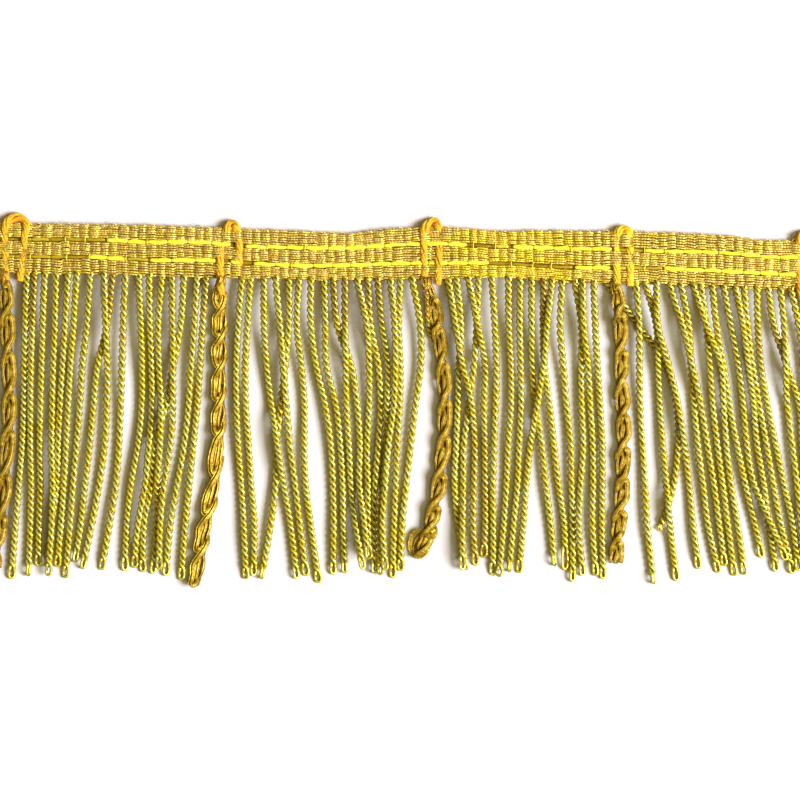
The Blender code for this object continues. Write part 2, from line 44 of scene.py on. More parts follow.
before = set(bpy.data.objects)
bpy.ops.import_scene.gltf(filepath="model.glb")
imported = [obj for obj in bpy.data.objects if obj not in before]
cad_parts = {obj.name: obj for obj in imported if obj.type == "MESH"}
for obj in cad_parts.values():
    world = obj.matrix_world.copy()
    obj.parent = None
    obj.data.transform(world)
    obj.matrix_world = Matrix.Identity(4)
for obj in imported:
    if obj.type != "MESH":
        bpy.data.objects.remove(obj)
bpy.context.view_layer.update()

MM = 0.001
UP = np.array((0.0, 0.0, 1.0))

# One step of the charts, the frame's origin on them, and the steps that the camera takes in
STEP = 0.215 * MM
MIDDLE = (400.0, 254.0)
PICTURE = 800.0

# Sockets of a mix node: its factor, and its two inputs and result for colours and for numbers
FACTOR = 0
COLOUR_A, COLOUR_B, COLOUR_RESULT = 6, 7, 2
NUMBER_A, NUMBER_B, NUMBER_RESULT = 2, 3, 0
# The scale at which the bands of a wave texture are one unit apart
WAVE_UNIT = 0.314

# The heading's lines on the chart: its rims and the middle of each tinsel
HEADING_COLUMNS = ("x", "top", "upper", "lower", "bottom")
HEADING_LINES = (
    (-24.0, 223.0, 239.0, 256.0, 273.0),
    (40.0, 223.6, 239.3, 256.6, 273.6),
    (100.0, 224.5, 240.0, 257.4, 274.4),
    (150.0, 225.2, 242.0, 259.8, 276.0),
    (200.0, 227.0, 242.3, 260.3, 277.5),
    (250.0, 229.5, 246.0, 263.0, 278.7),
    (300.0, 230.7, 248.0, 265.5, 279.0),
    (345.0, 233.5, 248.0, 265.3, 280.0),
    (380.0, 229.8, 246.0, 264.0, 279.8),
    (410.0, 227.8, 244.5, 263.3, 279.3),
    (440.0, 227.0, 243.8, 263.0, 279.0),
    (500.0, 231.0, 246.5, 263.4, 277.5),
    (560.0, 231.0, 248.2, 266.8, 281.5),
    (610.0, 231.2, 249.0, 267.8, 283.6),
    (660.0, 232.6, 251.0, 268.2, 284.5),
    (720.0, 235.0, 252.8, 271.0, 288.0),
    (760.0, 240.0, 256.2, 273.0, 288.8),
    (790.0, 240.6, 257.4, 274.6, 290.3),
    (838.0, 242.0, 259.0, 276.0, 291.5),
)
HEADING_START, HEADING_END = HEADING_LINES[0][0], HEADING_LINES[-1][0]

# The heading's three bands of warps: the lines they run between, and how far inside each
BANDS = (
    ("top", "upper", 0.6, 2.0),
    ("upper", "lower", 2.0, 2.0),
    ("lower", "bottom", 2.0, -0.2),
)
# Height in mm of each band's crest at these shares of the way across it
CREST_SHARES = (0.0, 0.3, 0.7, 1.0)
CRESTS = ((1.55, 2.1, 2.3, 2.1), (2.0, 2.3, 2.3, 2.0), (2.0, 2.25, 2.15, 1.75))
# One block of a warp from dip to dip: the share of its length, and how far it has risen there
BLOCK = ((0.0, 0.0), (0.13, 0.78), (0.36, 1.0), (0.64, 1.0), (0.87, 0.78))
# Half the length of a block in steps
HALF_BLOCK = 4.7
# The stretch of heading whose warps are yellower: where it starts and ends, and how softly
YELLOW_START, YELLOW_END, YELLOW_IN, YELLOW_OUT = 445.0, 600.0, 20.0, 40.0
# Ground cloth: height of its face in mm at these shares of the way down the heading
GROUND_SHARES = (0.0, 0.12, 0.28, 0.33, 0.4, 0.5, 0.62, 0.68, 0.75, 0.88, 1.0)
GROUND_LEVELS = (0.9, 1.4, 1.3, 1.15, 1.4, 1.6, 1.35, 1.15, 1.35, 1.5, 1.2)

# Tinsel: the line it follows, where a stretch of it starts and ends, and how dull that is
TINSEL_RUNS = (
    ("upper", -24.0, 105.0, 0.75),
    ("upper", 107.0, 230.0, 0.0),
    ("upper", 246.0, 466.0, 0.0),
    ("upper", 474.0, 490.0, 0.9),
    ("upper", 496.0, 508.0, 0.4),
    ("upper", 513.0, 611.0, 0.0),
    ("upper", 616.0, 642.0, 0.7),
    ("upper", 645.0, 838.0, 0.0),
    ("lower", -24.0, 88.0, 0.8),
    ("lower", 90.0, 126.0, 0.0),
    ("lower", 127.0, 148.0, 0.7),
    ("lower", 150.0, 216.0, 0.0),
    ("lower", 231.0, 241.0, 0.0),
    ("lower", 254.0, 488.0, 0.0),
    ("lower", 512.0, 572.0, 0.85),
    ("lower", 575.0, 609.0, 0.0),
    ("lower", 612.0, 662.0, 0.7),
    ("lower", 664.0, 838.0, 0.0),
)
# Length of one float of tinsel between two binders
FLOAT_LENGTH = 19.5

# One row a strand: x at its root and down the fringe, its loop's end, and its turn in the pile
STRAND_LEVELS = (325.0, 365.0, 405.0, 445.0, 485.0, 525.0)
STRAND_COLUMNS = ("root", "x325", "x365", "x405", "x445", "x485", "x525", "tip_x", "tip_y", "turn")
STRANDS = (
    (-16.0, -19.0, -20.0, -21.0, -23.0, -26.0, -29.0, -32.0, 573.0, 0),
    (-7.0, -9.0, -9.0, -10.0, -12.0, -14.0, -18.0, -21.0, 576.0, 0),
    (27.0, 25.2, 24.3, 23.6, 21.8, 18.7, 15.3, 11.0, 580.0, 0),
    (34.5, 32.6, 31.3, 30.5, 30.0, 31.0, 30.0, 28.0, 577.0, 0),
    (45.0, 43.0, 41.5, 40.3, 39.5, 40.0, 38.8, 38.0, 567.0, 0),
    (56.0, 55.0, 53.2, 52.0, 51.5, 53.0, 52.0, 48.5, 577.0, 1),
    (68.0, 65.3, 62.4, 59.7, 57.8, 56.5, 51.5, 46.0, 568.0, 0),
    (77.0, 73.8, 70.5, 68.0, 65.9, 63.8, 60.8, 57.0, 568.0, 0),
    (90.3, 87.0, 82.5, 79.5, 76.3, 72.8, 70.0, 65.0, 579.0, 0),
    (112.5, 107.5, 97.8, 93.3, 89.5, 84.7, 80.5, 74.5, 563.0, 0),
    (104.0, 106.5, 107.5, 106.8, 104.5, 98.8, 91.5, 82.0, 570.0, 1),
    (125.3, 123.4, 122.0, 120.5, 118.6, 115.5, 109.3, 101.0, 571.0, 0),
    (138.7, 141.0, 142.0, 141.5, 137.8, 130.8, 126.5, 124.5, 572.0, 0),
    (149.3, 150.0, 151.3, 151.8, 149.0, 145.3, 138.0, 134.0, 569.0, 1),
    (162.0, 158.4, 159.0, 161.0, 160.3, 157.0, 157.0, 152.5, 575.0, 1),
    (172.0, 172.6, 173.0, 172.8, 170.3, 164.0, 160.5, 159.0, 570.0, 2),
    (184.0, 181.0, 173.5, 166.0, 154.5, 151.0, 144.0, 142.5, 573.0, 0),
    (197.0, 194.3, 191.3, 188.5, 184.0, 177.0, 170.0, 165.5, 577.0, 0),
    (206.0, 202.8, 200.0, 197.0, 193.0, 189.0, 185.0, 181.0, 581.0, 0),
    (242.0, 238.3, 236.2, 236.3, 238.0, 241.0, 243.5, 246.0, 580.0, 0),
    (250.5, 247.5, 245.3, 245.7, 248.3, 251.0, 254.0, 253.5, 577.0, 0),
    (264.0, 264.3, 266.7, 271.3, 277.3, 283.5, 290.3, 297.0, 580.0, 1),
    (275.7, 280.0, 283.3, 286.3, 289.8, 295.0, 299.5, 306.5, 577.0, 1),
    (289.0, 288.8, 285.3, 281.0, 276.5, 275.5, 270.5, 261.0, 580.0, 0),
    (299.0, 297.0, 301.2, 304.2, 304.0, 305.5, 310.5, 319.0, 584.0, 0),
    (311.0, 311.0, 316.0, 325.0, 330.6, 332.8, 333.5, 333.0, 575.5, 0),
    (324.0, 325.3, 326.3, 335.7, 340.0, 342.3, 343.0, 344.6, 574.0, 0),
    (333.0, 337.3, 351.0, 357.0, 359.7, 359.0, 364.5, 367.7, 559.0, 2),
    (345.0, 345.0, 346.0, 346.3, 348.7, 350.7, 355.0, 363.6, 570.0, 3),
    (357.0, 366.7, 369.2, 369.0, 367.0, 367.6, 368.0, 369.0, 560.0, 1),
    (367.5, 370.7, 378.3, 380.5, 378.3, 375.0, 373.7, 374.0, 574.0, 0),
    (377.5, 382.0, 387.7, 386.8, 386.0, 382.6, 379.8, 380.5, 576.0, 0),
    (390.3, 394.8, 395.5, 393.7, 388.5, 385.0, 382.4, 385.6, 571.0, 1),
    (400.3, 398.5, 400.0, 399.5, 397.2, 395.7, 394.0, 392.7, 579.0, 0),
    (412.0, 420.3, 420.6, 415.2, 410.6, 406.0, 402.0, 400.5, 572.0, 0),
    (448.0, 455.5, 462.5, 471.7, 474.6, 473.7, 473.0, 476.0, 566.5, 2),
    (456.3, 461.0, 459.2, 457.6, 455.9, 454.5, 458.3, 466.5, 571.0, 0),
    (468.0, 477.5, 485.0, 483.8, 484.5, 484.8, 485.0, 483.6, 558.6, 2),
    (478.5, 476.8, 474.0, 469.0, 463.7, 463.0, 462.2, 462.5, 571.0, 1),
    (491.6, 494.8, 496.3, 495.5, 494.0, 492.7, 493.0, 493.0, 576.0, 0),
    (508.3, 508.7, 510.7, 510.8, 507.9, 506.3, 503.5, 499.0, 578.0, 1),
    (520.0, 519.6, 520.5, 521.0, 519.0, 517.2, 513.4, 509.0, 573.0, 0),
    (531.3, 531.5, 532.0, 535.5, 541.5, 545.6, 550.5, 554.8, 567.0, 0),
    (543.4, 543.0, 544.3, 549.3, 553.7, 558.3, 564.0, 565.0, 571.0, 0),
    (551.8, 546.8, 543.3, 537.0, 530.3, 526.0, 523.0, 519.0, 574.0, 1),
    (562.0, 560.0, 563.0, 566.3, 570.5, 571.3, 572.5, 572.7, 583.0, 0),
    (574.6, 581.3, 581.0, 581.4, 583.0, 580.5, 578.5, 583.0, 577.0, 0),
    (582.2, 583.2, 587.7, 590.2, 592.6, 592.8, 592.2, 596.0, 577.0, 1),
    (593.5, 595.0, 597.2, 599.8, 602.0, 602.0, 601.8, 603.2, 580.0, 0),
    (606.5, 638.5, 666.0, 677.0, 678.0, 673.5, 661.7, 661.7, 524.0, 0),
    (636.0, 639.0, 639.4, 640.0, 642.3, 644.8, 647.0, 654.0, 585.0, 1),
    (645.0, 656.0, 658.0, 659.7, 662.6, 666.2, 669.6, 677.0, 582.0, 2),
    (656.0, 657.0, 668.0, 677.5, 684.2, 689.0, 693.0, 699.0, 570.0, 3),
    (669.3, 681.6, 691.5, 700.7, 707.3, 713.7, 719.0, 725.0, 567.0, 2),
    (680.6, 688.3, 691.0, 694.0, 697.6, 703.0, 708.0, 719.0, 574.0, 1),
    (693.0, 705.5, 720.3, 723.3, 726.2, 731.0, 737.5, 745.0, 576.0, 2),
    (701.0, 706.0, 709.7, 712.7, 717.2, 722.5, 727.7, 735.0, 577.0, 1),
    (712.0, 716.0, 723.3, 729.5, 736.7, 745.3, 755.0, 762.5, 559.0, 0),
    (723.4, 730.5, 738.0, 743.0, 746.8, 754.0, 771.0, 787.0, 562.0, 2),
    (735.2, 742.0, 747.8, 753.2, 757.0, 763.7, 769.0, 777.0, 573.0, 1),
    (743.7, 747.0, 752.3, 759.3, 766.3, 773.3, 781.0, 794.0, 575.0, 0),
    (756.6, 757.5, 760.7, 767.3, 775.7, 784.0, 792.6, 799.0, 572.0, 0),
    (767.7, 773.4, 786.5, 799.0, 802.0, 805.0, 807.5, 812.0, 575.0, 0),
    (780.0, 783.7, 785.0, 787.3, 792.0, 797.0, 800.5, 805.5, 569.0, 1),
    (790.5, 798.5, 804.0, 806.0, 809.0, 812.5, 815.5, 820.0, 570.0, 0),
    (821.0, 826.0, 831.0, 835.0, 838.0, 841.0, 845.0, 848.0, 573.0, 0),
    (830.0, 835.0, 840.0, 844.0, 847.0, 850.0, 854.0, 857.0, 570.0, 0),
)

# Roots of two odd strands: the frayed one, and the one whose end loop is long
FRAYED, LONG_LOOPED = 606.5, 543.4
# A strand's end loop in mm: across it, and down from where its plies part
LOOP_ACROSS = (0.385, 0.5, 0.57, 0.44, 0.0, -0.44, -0.57, -0.5, -0.385)
LOOP_DOWN = (0.0, 0.62, 1.25, 1.9, 2.2, 1.9, 1.25, 0.62, 0.0)
# Rings of a ply for one turn of its twist, and the painted shade of its sides
RINGS_A_TURN = 9.0
GIMP_SHADE = {"edge": 3.35, "fall": 4.0}

# Browner stretches: the strand by its root, from y and to y, and how brown it is
BROWN_STRETCHES = (
    (34.5, 270.0, 325.0, 0.7),
    (112.5, 270.0, 318.0, 0.8),
    (206.0, 270.0, 315.0, 0.5),
    (333.0, 270.0, 320.0, 0.7),
    (345.0, 270.0, 325.0, 0.7),
    (357.0, 500.0, 575.0, 0.4),
    (367.5, 270.0, 320.0, 0.6),
    (377.5, 270.0, 322.0, 0.6),
    (448.0, 430.0, 570.0, 0.35),
    (468.0, 355.0, 380.0, 0.5),
    (468.0, 430.0, 560.0, 0.45),
    (543.4, 270.0, 325.0, 0.7),
    (606.5, 270.0, 530.0, 0.3),
    (756.6, 320.0, 370.0, 0.5),
    (767.7, 320.0, 370.0, 0.5),
)

# One row a chain: x below the heading and at each level, its end, and where it reaches the floor
CHAIN_LEVELS = (330.0, 380.0, 430.0, 480.0, 520.0)
CHAIN_COLUMNS = ("root", "x330", "x380", "x430", "x480", "x520", "end_x", "end_y", "floor_y")
CHAINS = (
    (5.0, 6.7, 8.5, 8.0, 4.0, 0.0, -8.0, 570.0, 312.0),
    (221.0, 220.8, 219.8, 219.0, 214.5, 206.5, 195.0, 587.0, 312.0),
    (429.0, 437.0, 443.5, 443.5, 438.5, 431.0, 419.0, 559.0, 312.0),
    (616.0, 619.7, 620.8, 622.5, 621.5, 618.3, 615.0, 565.0, 345.0),
    (807.5, 811.5, 818.5, 822.0, 826.0, 829.3, 834.0, 568.0, 312.0),
)

# Whether each chain lies turned about, and how far down the arches of its links stand
CHAIN_LINKS = (
    (False, (282.0, 315.5, 354.0, 394.5, 432.0, 475.0, 516.0, 552.0)),
    (True, (306.0, 336.0, 365.0, 400.0, 434.0, 474.0, 513.0, 551.0, 586.0)),
    (False, (299.5, 329.5, 365.0, 401.5, 437.5, 474.5, 506.5, 530.0)),
    (False, (286.0, 314.0, 351.5, 384.5, 416.0, 448.0, 480.0, 511.0, 542.0)),
    (False, (290.0, 324.0, 359.0, 394.0, 430.0, 466.0, 502.0, 536.0)),
)

# One link: across and down in steps, height in mm, of its cord and its legs
LINK_CORD = (
    (-1.0, 9.0, 0.75), (-0.4, 4.0, 1.45), (2.6, 0.4, 1.85), (5.4, 3.6, 1.75), (6.0, 12.0, 1.3),
    (5.6, 21.0, 1.45), (1.6, 29.5, 1.95), (-2.8, 36.5, 1.8), (-4.9, 44.0, 1.25), (-4.2, 50.0, 0.7),
)
LINK_LEFT = ((-3.2, 6.0, 0.8), (-5.0, 15.0, 1.35), (-4.9, 24.0, 1.35), (-2.6, 33.0, 0.9))
LINK_MIDDLE = ((1.6, 4.5, 0.8), (1.3, 12.0, 1.35), (0.2, 22.0, 1.4), (-0.4, 31.0, 0.9))
LINK_UNDER = ((3.6, 0.0, 0.45), (3.2, 12.0, 0.5), (2.4, 24.0, 0.5), (-1.0, 35.0, 0.4))
# Length in steps of the link that these make
LINK_LENGTH = 35.0
# The threads of a link: their path, how far beside it and how thick each is, and their painted shade,
# deepest on the thread underneath
LINK_THREADS = (
    (LINK_CORD, ((-0.5, 2.0), (2.4, 0.95)), 0.0),
    (LINK_LEFT, ((0.0, 1.3),), 0.0),
    (LINK_MIDDLE, ((-1.0, 1.45), (1.7, 1.0)), 0.2),
    (LINK_UNDER, ((0.0, 1.5),), 0.8),
)

# What the third chain alone has: chart x and y, height in mm, of its pale pair and its end loop
THIRD = 3
SIDE_PAIR = (
    (424.5, 278.0, 2.2), (426.5, 290.0, 2.3), (427.3, 304.0, 1.9),
    (427.8, 318.0, 1.4), (429.0, 330.0, 1.1), (432.0, 338.0, 0.9),
)
END_RING = (
    (430.0, 522.0, 1.2), (435.5, 529.0, 1.6), (433.5, 537.0, 1.7), (427.0, 535.0, 1.6),
    (419.5, 530.5, 1.3), (412.5, 535.0, 0.9), (410.0, 545.0, 0.6), (413.0, 554.0, 0.5),
    (419.5, 557.0, 0.5), (426.5, 552.0, 0.7), (428.5, 543.0, 1.0), (425.0, 536.0, 1.0),
)
INNER_RING = (
    (424.0, 534.0, 0.9), (417.5, 540.0, 0.8), (415.0, 549.0, 0.6),
    (418.5, 552.0, 0.5), (422.5, 545.0, 0.7), (424.5, 538.0, 0.8),
)

# Middle of each tie from the foot of its left leg round its arch: chart x and y, height in mm
TIES = (
    (
        (7.0, 288.0, 2.9), (6.0, 279.0, 2.7), (5.5, 268.0, 1.5), (5.0, 250.0, 1.45),
        (4.5, 238.0, 1.5), (5.0, 229.0, 1.9), (8.5, 220.0, 1.1), (16.5, 217.0, 0.8),
        (24.5, 220.5, 1.1), (26.5, 228.5, 1.85), (24.5, 236.0, 1.88), (24.0, 244.0, 1.9),
        (23.0, 252.0, 1.2), (22.0, 264.0, 1.5), (20.5, 275.0, 1.9), (20.0, 281.0, 1.7),
    ),
    (
        (221.5, 295.0, 2.9), (220.5, 286.0, 3.0), (220.3, 272.0, 1.88), (220.2, 260.0, 1.88),
        (221.0, 250.0, 1.6), (222.5, 240.0, 1.0), (225.5, 232.5, 1.3), (228.0, 227.0, 1.6),
        (232.0, 224.0, 0.9), (235.8, 226.5, 1.6), (238.0, 233.0, 1.1), (239.0, 240.0, 1.6),
        (239.2, 248.0, 1.88), (239.0, 257.0, 1.5), (238.5, 268.0, 1.4), (238.0, 274.0, 1.35),
    ),
    (
        (426.0, 289.0, 1.2), (424.8, 283.0, 1.7), (424.2, 276.0, 1.88), (424.0, 267.0, 1.4),
        (423.8, 260.0, 1.8), (423.7, 250.0, 1.88), (423.3, 236.0, 1.88), (424.5, 228.5, 1.88),
        (429.0, 223.0, 1.1), (434.5, 221.5, 0.8), (438.0, 226.0, 1.4), (438.7, 234.0, 1.1),
        (438.8, 243.0, 1.3), (438.8, 252.0, 1.88), (438.5, 266.0, 1.88), (438.0, 278.0, 1.88),
        (437.2, 284.5, 1.88),
    ),
    (
        (617.0, 290.0, 2.9), (616.5, 284.0, 2.8), (616.5, 276.0, 1.88), (616.5, 268.0, 1.5),
        (616.0, 256.0, 1.35), (616.0, 244.0, 1.35), (617.0, 236.0, 1.4), (618.5, 231.5, 1.5),
        (623.0, 229.0, 1.1), (628.0, 231.0, 1.5), (629.8, 237.0, 1.35), (630.0, 246.0, 1.5),
        (630.2, 258.0, 1.4), (630.2, 268.0, 1.5), (630.0, 277.0, 1.88), (629.8, 286.0, 1.88),
    ),
    (
        (802.5, 302.0, 2.4), (800.5, 294.0, 2.5), (799.5, 280.0, 1.88), (799.0, 262.0, 1.4),
        (799.0, 246.0, 1.4), (800.5, 238.0, 1.88), (805.0, 233.5, 0.9), (811.0, 235.5, 1.1),
        (813.5, 242.0, 1.5), (813.5, 256.0, 1.4), (813.2, 274.0, 1.88), (813.0, 290.0, 1.88),
    ),
)
# From this height a tie lies over the warps, and they sink under it
TIE_OVER = 1.7

# Softboxes: their name, place and size in metres, power in watts and colour
SOFTBOXES = (
    ("softbox_above", (0.0, 0.0, 0.8), 1.4, 0.85, (1.0, 0.78, 0.22)),
    ("softbox_near", (0.2, -0.1, 0.8), 0.3, 0.8, (1.0, 0.88, 0.45)),
    ("softbox_right", (1.5, -0.3, 1.35), 1.1, 82.0, (0.99, 0.98, 0.95)),
)
# The camera's lens and sensor in mm, and the height at which the picture is to scale
LENS, SENSOR = 200.0, 36.0
SCALE_HEIGHT = 1.2 * MM


def linear(code, alpha=None):
    """Scene-linear colour of an sRGB hex code."""
    parts = [int(code[i : i + 2], 16) / 255.0 for i in (1, 3, 5)]
    colour = [p / 12.92 if p <= 0.04045 else ((p + 0.055) / 1.055) ** 2.4 for p in parts]
    return colour if alpha is None else colour + [alpha]


def column(columns, table, name):
    """One named column of a table."""
    return np.array([row[columns.index(name)] for row in table])


def held(share):
    """The share, held between 0 and 1."""
    return np.clip(share, 0.0, 1.0)


def smooth(knots, values, at):
    """Values at `at` of a smooth curve through the knots."""
    knots, values = np.asarray(knots, float), np.asarray(values, float)
    slope = np.empty_like(values)
    slope[1:-1] = ((values[2:] - values[:-2]).T / (knots[2:] - knots[:-2])).T
    slope[0] = (values[1] - values[0]) / (knots[1] - knots[0])
    slope[-1] = (values[-1] - values[-2]) / (knots[-1] - knots[-2])
    low = np.clip(np.searchsorted(knots, at) - 1, 0, len(knots) - 2)
    run = knots[low + 1] - knots[low]
    t = held((at - knots[low]) / run)
    if values.ndim > 1:
        run, t = run[:, None], t[:, None]
    ends = (2 * t**3 - 3 * t**2 + 1) * values[low] + (3 * t**2 - 2 * t**3) * values[low + 1]
    turns = (t**3 - 2 * t**2 + t) * run * slope[low] + (t**3 - t**2) * run * slope[low + 1]
    return ends + turns


def curve(knots, count):
    """`count` points of a smooth curve through the knots, as many between each two."""
    return smooth(np.arange(len(knots)), knots, np.linspace(0, len(knots) - 1, count))


def heading_line(name, x):
    """Chart y of one of the heading's lines at each x."""
    xs = column(HEADING_COLUMNS, HEADING_LINES, "x")
    return smooth(xs, column(HEADING_COLUMNS, HEADING_LINES, name), np.asarray(x, float))


def hem(x):
    """Chart y of the heading's lower rim at one x."""
    return float(heading_line("bottom", x))


def placed(x, y, z):
    """Points in metres from chart x and y and a height in metres."""
    x, y, z = np.broadcast_arrays(x, y, z)
    return np.stack(((x - MIDDLE[0]) * STEP, (MIDDLE[1] - y) * STEP, z), axis=-1)


def unit(vectors):
    """The same directions at length 1."""
    return vectors / np.maximum(np.linalg.norm(vectors, axis=-1, keepdims=True), 1e-12)


def ahead_of(path):
    """The direction in which the path runs at each point."""
    return unit(np.gradient(path, axis=0))


def beside(ahead):
    """The level direction at a right angle to each, on its right seen from above."""
    return unit(np.cross(ahead, UP))


def along(points):
    """Length run at each point of a path."""
    return np.concatenate(([0.0], np.cumsum(np.linalg.norm(np.diff(points, axis=0), axis=1))))


def resampled(points, count):
    """The same path in `count` even lengths."""
    run = along(points)
    return smooth(run, points, np.linspace(0.0, run[-1], count + 1))


class Threads:
    """Threads gathered into one mesh, each a closed tube along its path."""

    # What faces down more than this is the underside, and how much painted shade it gets
    UNDERSIDE, UNDER_SHADE = -0.2, 0.55
    # The most painted shade a side gets, and how painted shade grows on what faces inward
    SIDE_SHADE, INWARD_GAIN, INWARD_START = 0.82, 2.6, 1.3

    def __init__(self):
        self.points, self.faces, self.uvs, self.tones, self.painted_shades = [], [], [], [], []
        self.count = 0

    def add(self, path, radius, sides=7, flat=1.0, tone=0.0, edge=0.72, fall=1.25, inward=None):
        """A tube along path; flat is its height for its width, and tone moves its colour to a second
        one, which is partly painted shade.

        Its sides by `edge` and `fall`, and what faces `inward`, get painted shade. Its underside gets a
        lighter painted shade, so that the light between threads takes their colour.
        """
        count = len(path)
        ahead = ahead_of(path)
        side = beside(ahead)
        lift = np.cross(side, ahead)
        angle = 2.0 * math.pi * np.arange(sides) / sides
        radius = np.broadcast_to(radius, count)[:, None, None]
        across = np.cos(angle)[None, :, None] * side[:, None]
        ring = across + flat * np.sin(angle)[None, :, None] * lift[:, None]
        self.points.append((path[:, None] + radius * ring).reshape(-1, 3))
        # Painted shade: sides by their height, the underside by a fixed share, grooves between plies by
        # facing inward
        shade = np.minimum(edge - fall * ring[..., 2], self.SIDE_SHADE)
        painted_shade = np.where(ring[..., 2] < self.UNDERSIDE, self.UNDER_SHADE, shade)
        if inward is not None:
            facing = (ring * inward[:, None]).sum(axis=-1)
            painted_shade = np.maximum(painted_shade, self.INWARD_GAIN * facing - self.INWARD_START)
        self.painted_shades.append(held(painted_shade).ravel())
        self.tones.append(np.repeat(np.broadcast_to(tone, count), sides))
        i = np.arange(count - 1)[:, None] * sides
        j = np.arange(sides)[None]
        k = (j + 1) % sides
        quads = np.stack(np.broadcast_arrays(i + j, i + sides + j, i + sides + k, i + k), axis=-1)
        self.faces += (quads.reshape(-1, 4) + self.count).tolist()
        run = along(path) / MM
        u = np.stack((run[:-1], run[1:], run[1:], run[:-1]), axis=-1)
        near, far = np.arange(sides) / sides, np.arange(1, sides + 1) / sides
        v = np.stack((near, near, far, far), axis=-1)
        uv = np.stack(np.broadcast_arrays(u[:, None], v[None]), axis=-1)
        self.uvs.append(uv.reshape(-1, 2))
        for first, step in ((0, 1), ((count - 1) * sides, -1)):
            self.faces.append([self.count + first + n for n in range(sides)][::step])
            self.uvs.append(np.zeros((sides, 2)))
        self.count += count * sides

    def build(self, name, material, nodes):
        """One object of the threads, riding on the body and standing for the CAD nodes."""
        mesh = bpy.data.meshes.new(name)
        points = np.concatenate(self.points)
        points[:, 2] = np.maximum(points[:, 2], 0.0)
        mesh.from_pydata(points.tolist(), [], self.faces)
        mesh.uv_layers.new(name="Thread").data.foreach_set("uv", np.concatenate(self.uvs).ravel())
        for key, values in (("tone", self.tones), ("painted_shade", self.painted_shades)):
            layer = mesh.attributes.new(key, "FLOAT", "POINT")
            layer.data.foreach_set("value", np.concatenate(values))
        mesh.shade_smooth()
        mesh.materials.append(material)
        piece = bpy.data.objects.new(name, mesh)
        bpy.context.scene.collection.objects.link(piece)
        return carried(piece, nodes)


def carried(piece, nodes):
    """The piece rides on the one body and replaces the nodes."""
    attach(piece, "root")
    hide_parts(*nodes)
    return piece


def add_node(tree, kind, settings=(), links=()):
    """A shader node with (input or property, value) settings and (input, node, output) links."""
    node = tree.nodes.new(kind)
    for name, value in settings:
        if isinstance(name, str) and hasattr(node, name):
            setattr(node, name, value)
        else:
            node.inputs[name].default_value = value
    for name, source, output in links:
        tree.links.new(source.outputs[output], node.inputs[name])
    return node


def thread_finish(name, colours, settings, wraps, fibres, speckle, relief, patches):
    """A thread's material: its colours, painted shade among them, shader settings and its bump.

    colours are the clear and shaded colours, mixed in random patches, the colour that tone leads to,
    which on the chains is partly painted shade, and the painted shade colour. The bump has `wraps` lines
    to a millimetre of length and `fibres` round the thread, `speckle` is the share of noise in it,
    `relief` how deep it is, and `patches` how many patches of the shaded colour there are to a metre.
    """
    material = bpy.data.materials.new(name)
    material.use_nodes = True
    tree = material.node_tree
    shader = tree.nodes["Principled BSDF"]
    for key, value in settings:
        shader.inputs[key].default_value = value
    clear, shaded, tone_and_painted_shade, painted_shade_colour = ((*colour, 1.0) for colour in colours)
    place = add_node(tree, "ShaderNodeTexCoord")
    here = (("Vector", place, "Object"),)
    fine = (("Scale", 3600.0), ("Detail", 3.0), ("Roughness", 0.65))
    grain = add_node(tree, "ShaderNodeTexNoise", fine, here)
    patch = add_node(tree, "ShaderNodeTexNoise", (("Scale", patches), ("Detail", 2.0)), here)
    middling = (("From Min", 0.35), ("From Max", 0.65))
    spread = add_node(tree, "ShaderNodeMapRange", middling, (("Value", patch, "Fac"),))
    both = (("data_type", "RGBA"), (COLOUR_A, clear), (COLOUR_B, shaded))
    colour = add_node(tree, "ShaderNodeMix", both, ((FACTOR, spread, "Result"),))
    # The tone attribute leads to the third colour, and the painted shade attribute to the painted shade
    # colour
    for attribute, over in (("tone", tone_and_painted_shade), ("painted_shade", painted_shade_colour)):
        share = add_node(tree, "ShaderNodeAttribute", (("attribute_name", attribute),))
        under = ((FACTOR, share, "Fac"), (COLOUR_A, colour, COLOUR_RESULT))
        colour = add_node(tree, "ShaderNodeMix", (("data_type", "RGBA"), (COLOUR_B, over)), under)
    tree.links.new(colour.outputs[COLOUR_RESULT], shader.inputs["Base Color"])
    thread = add_node(tree, "ShaderNodeUVMap", (("uv_map", "Thread"),))
    spaced = (("Scale", (wraps, fibres, 1.0)),)
    lines = add_node(tree, "ShaderNodeMapping", spaced, (("Vector", thread, "UV"),))
    slanting = (("bands_direction", "DIAGONAL"), ("Scale", WAVE_UNIT), ("Distortion", 0.0))
    wave = add_node(tree, "ShaderNodeTexWave", slanting, (("Vector", lines, "Vector"),))
    parts = ((NUMBER_A, wave, "Fac"), (NUMBER_B, grain, "Fac"))
    height = add_node(tree, "ShaderNodeMix", (("data_type", "FLOAT"), (FACTOR, speckle)), parts)
    raised = (("Strength", 1.0), ("Distance", relief))
    bump = add_node(tree, "ShaderNodeBump", raised, (("Height", height, NUMBER_RESULT),))
    tree.links.new(bump.outputs["Normal"], shader.inputs["Normal"])
    return material


def length(name, description, millimetres):
    """A length that the user may change, its default in millimetres."""
    default = millimetres * MM
    return FloatProperty(name=name, description=description, default=default, unit="LENGTH", precision=6)


def hue(name, description, code):
    """A colour that the user may change, its default an sRGB hex code."""
    default = linear(code)
    return FloatVectorProperty(name=name, description=description, default=default, subtype="COLOR")


class FringeSizes(bpy.types.PropertyGroup):
    """Sizes of the fringe's threads."""

    ply_radius: length("Ply radius", "Half the thickness of one ply of a strand", 0.4)
    ply_offset: length("Ply offset", "From the middle of a strand to the middle of a ply", 0.45)
    twist: length("Twist", "Length of strand in which a ply turns once", 2.74)
    warp_radius: length("Warp radius", "Half the width of a warp of the heading", 0.24)
    rib: length("Rib pitch", "Length of heading from one dip of the warps to the next", 2.04)
    warps: IntProperty(name="Warps", description="Warps in each of the three bands", default=6)
    gimp_radius: length("Gimp radius", "Half the thickness of a thread of the chains", 0.25)
    yarn_radius: length("Yarn radius", "Half the width of a tie", 0.8)


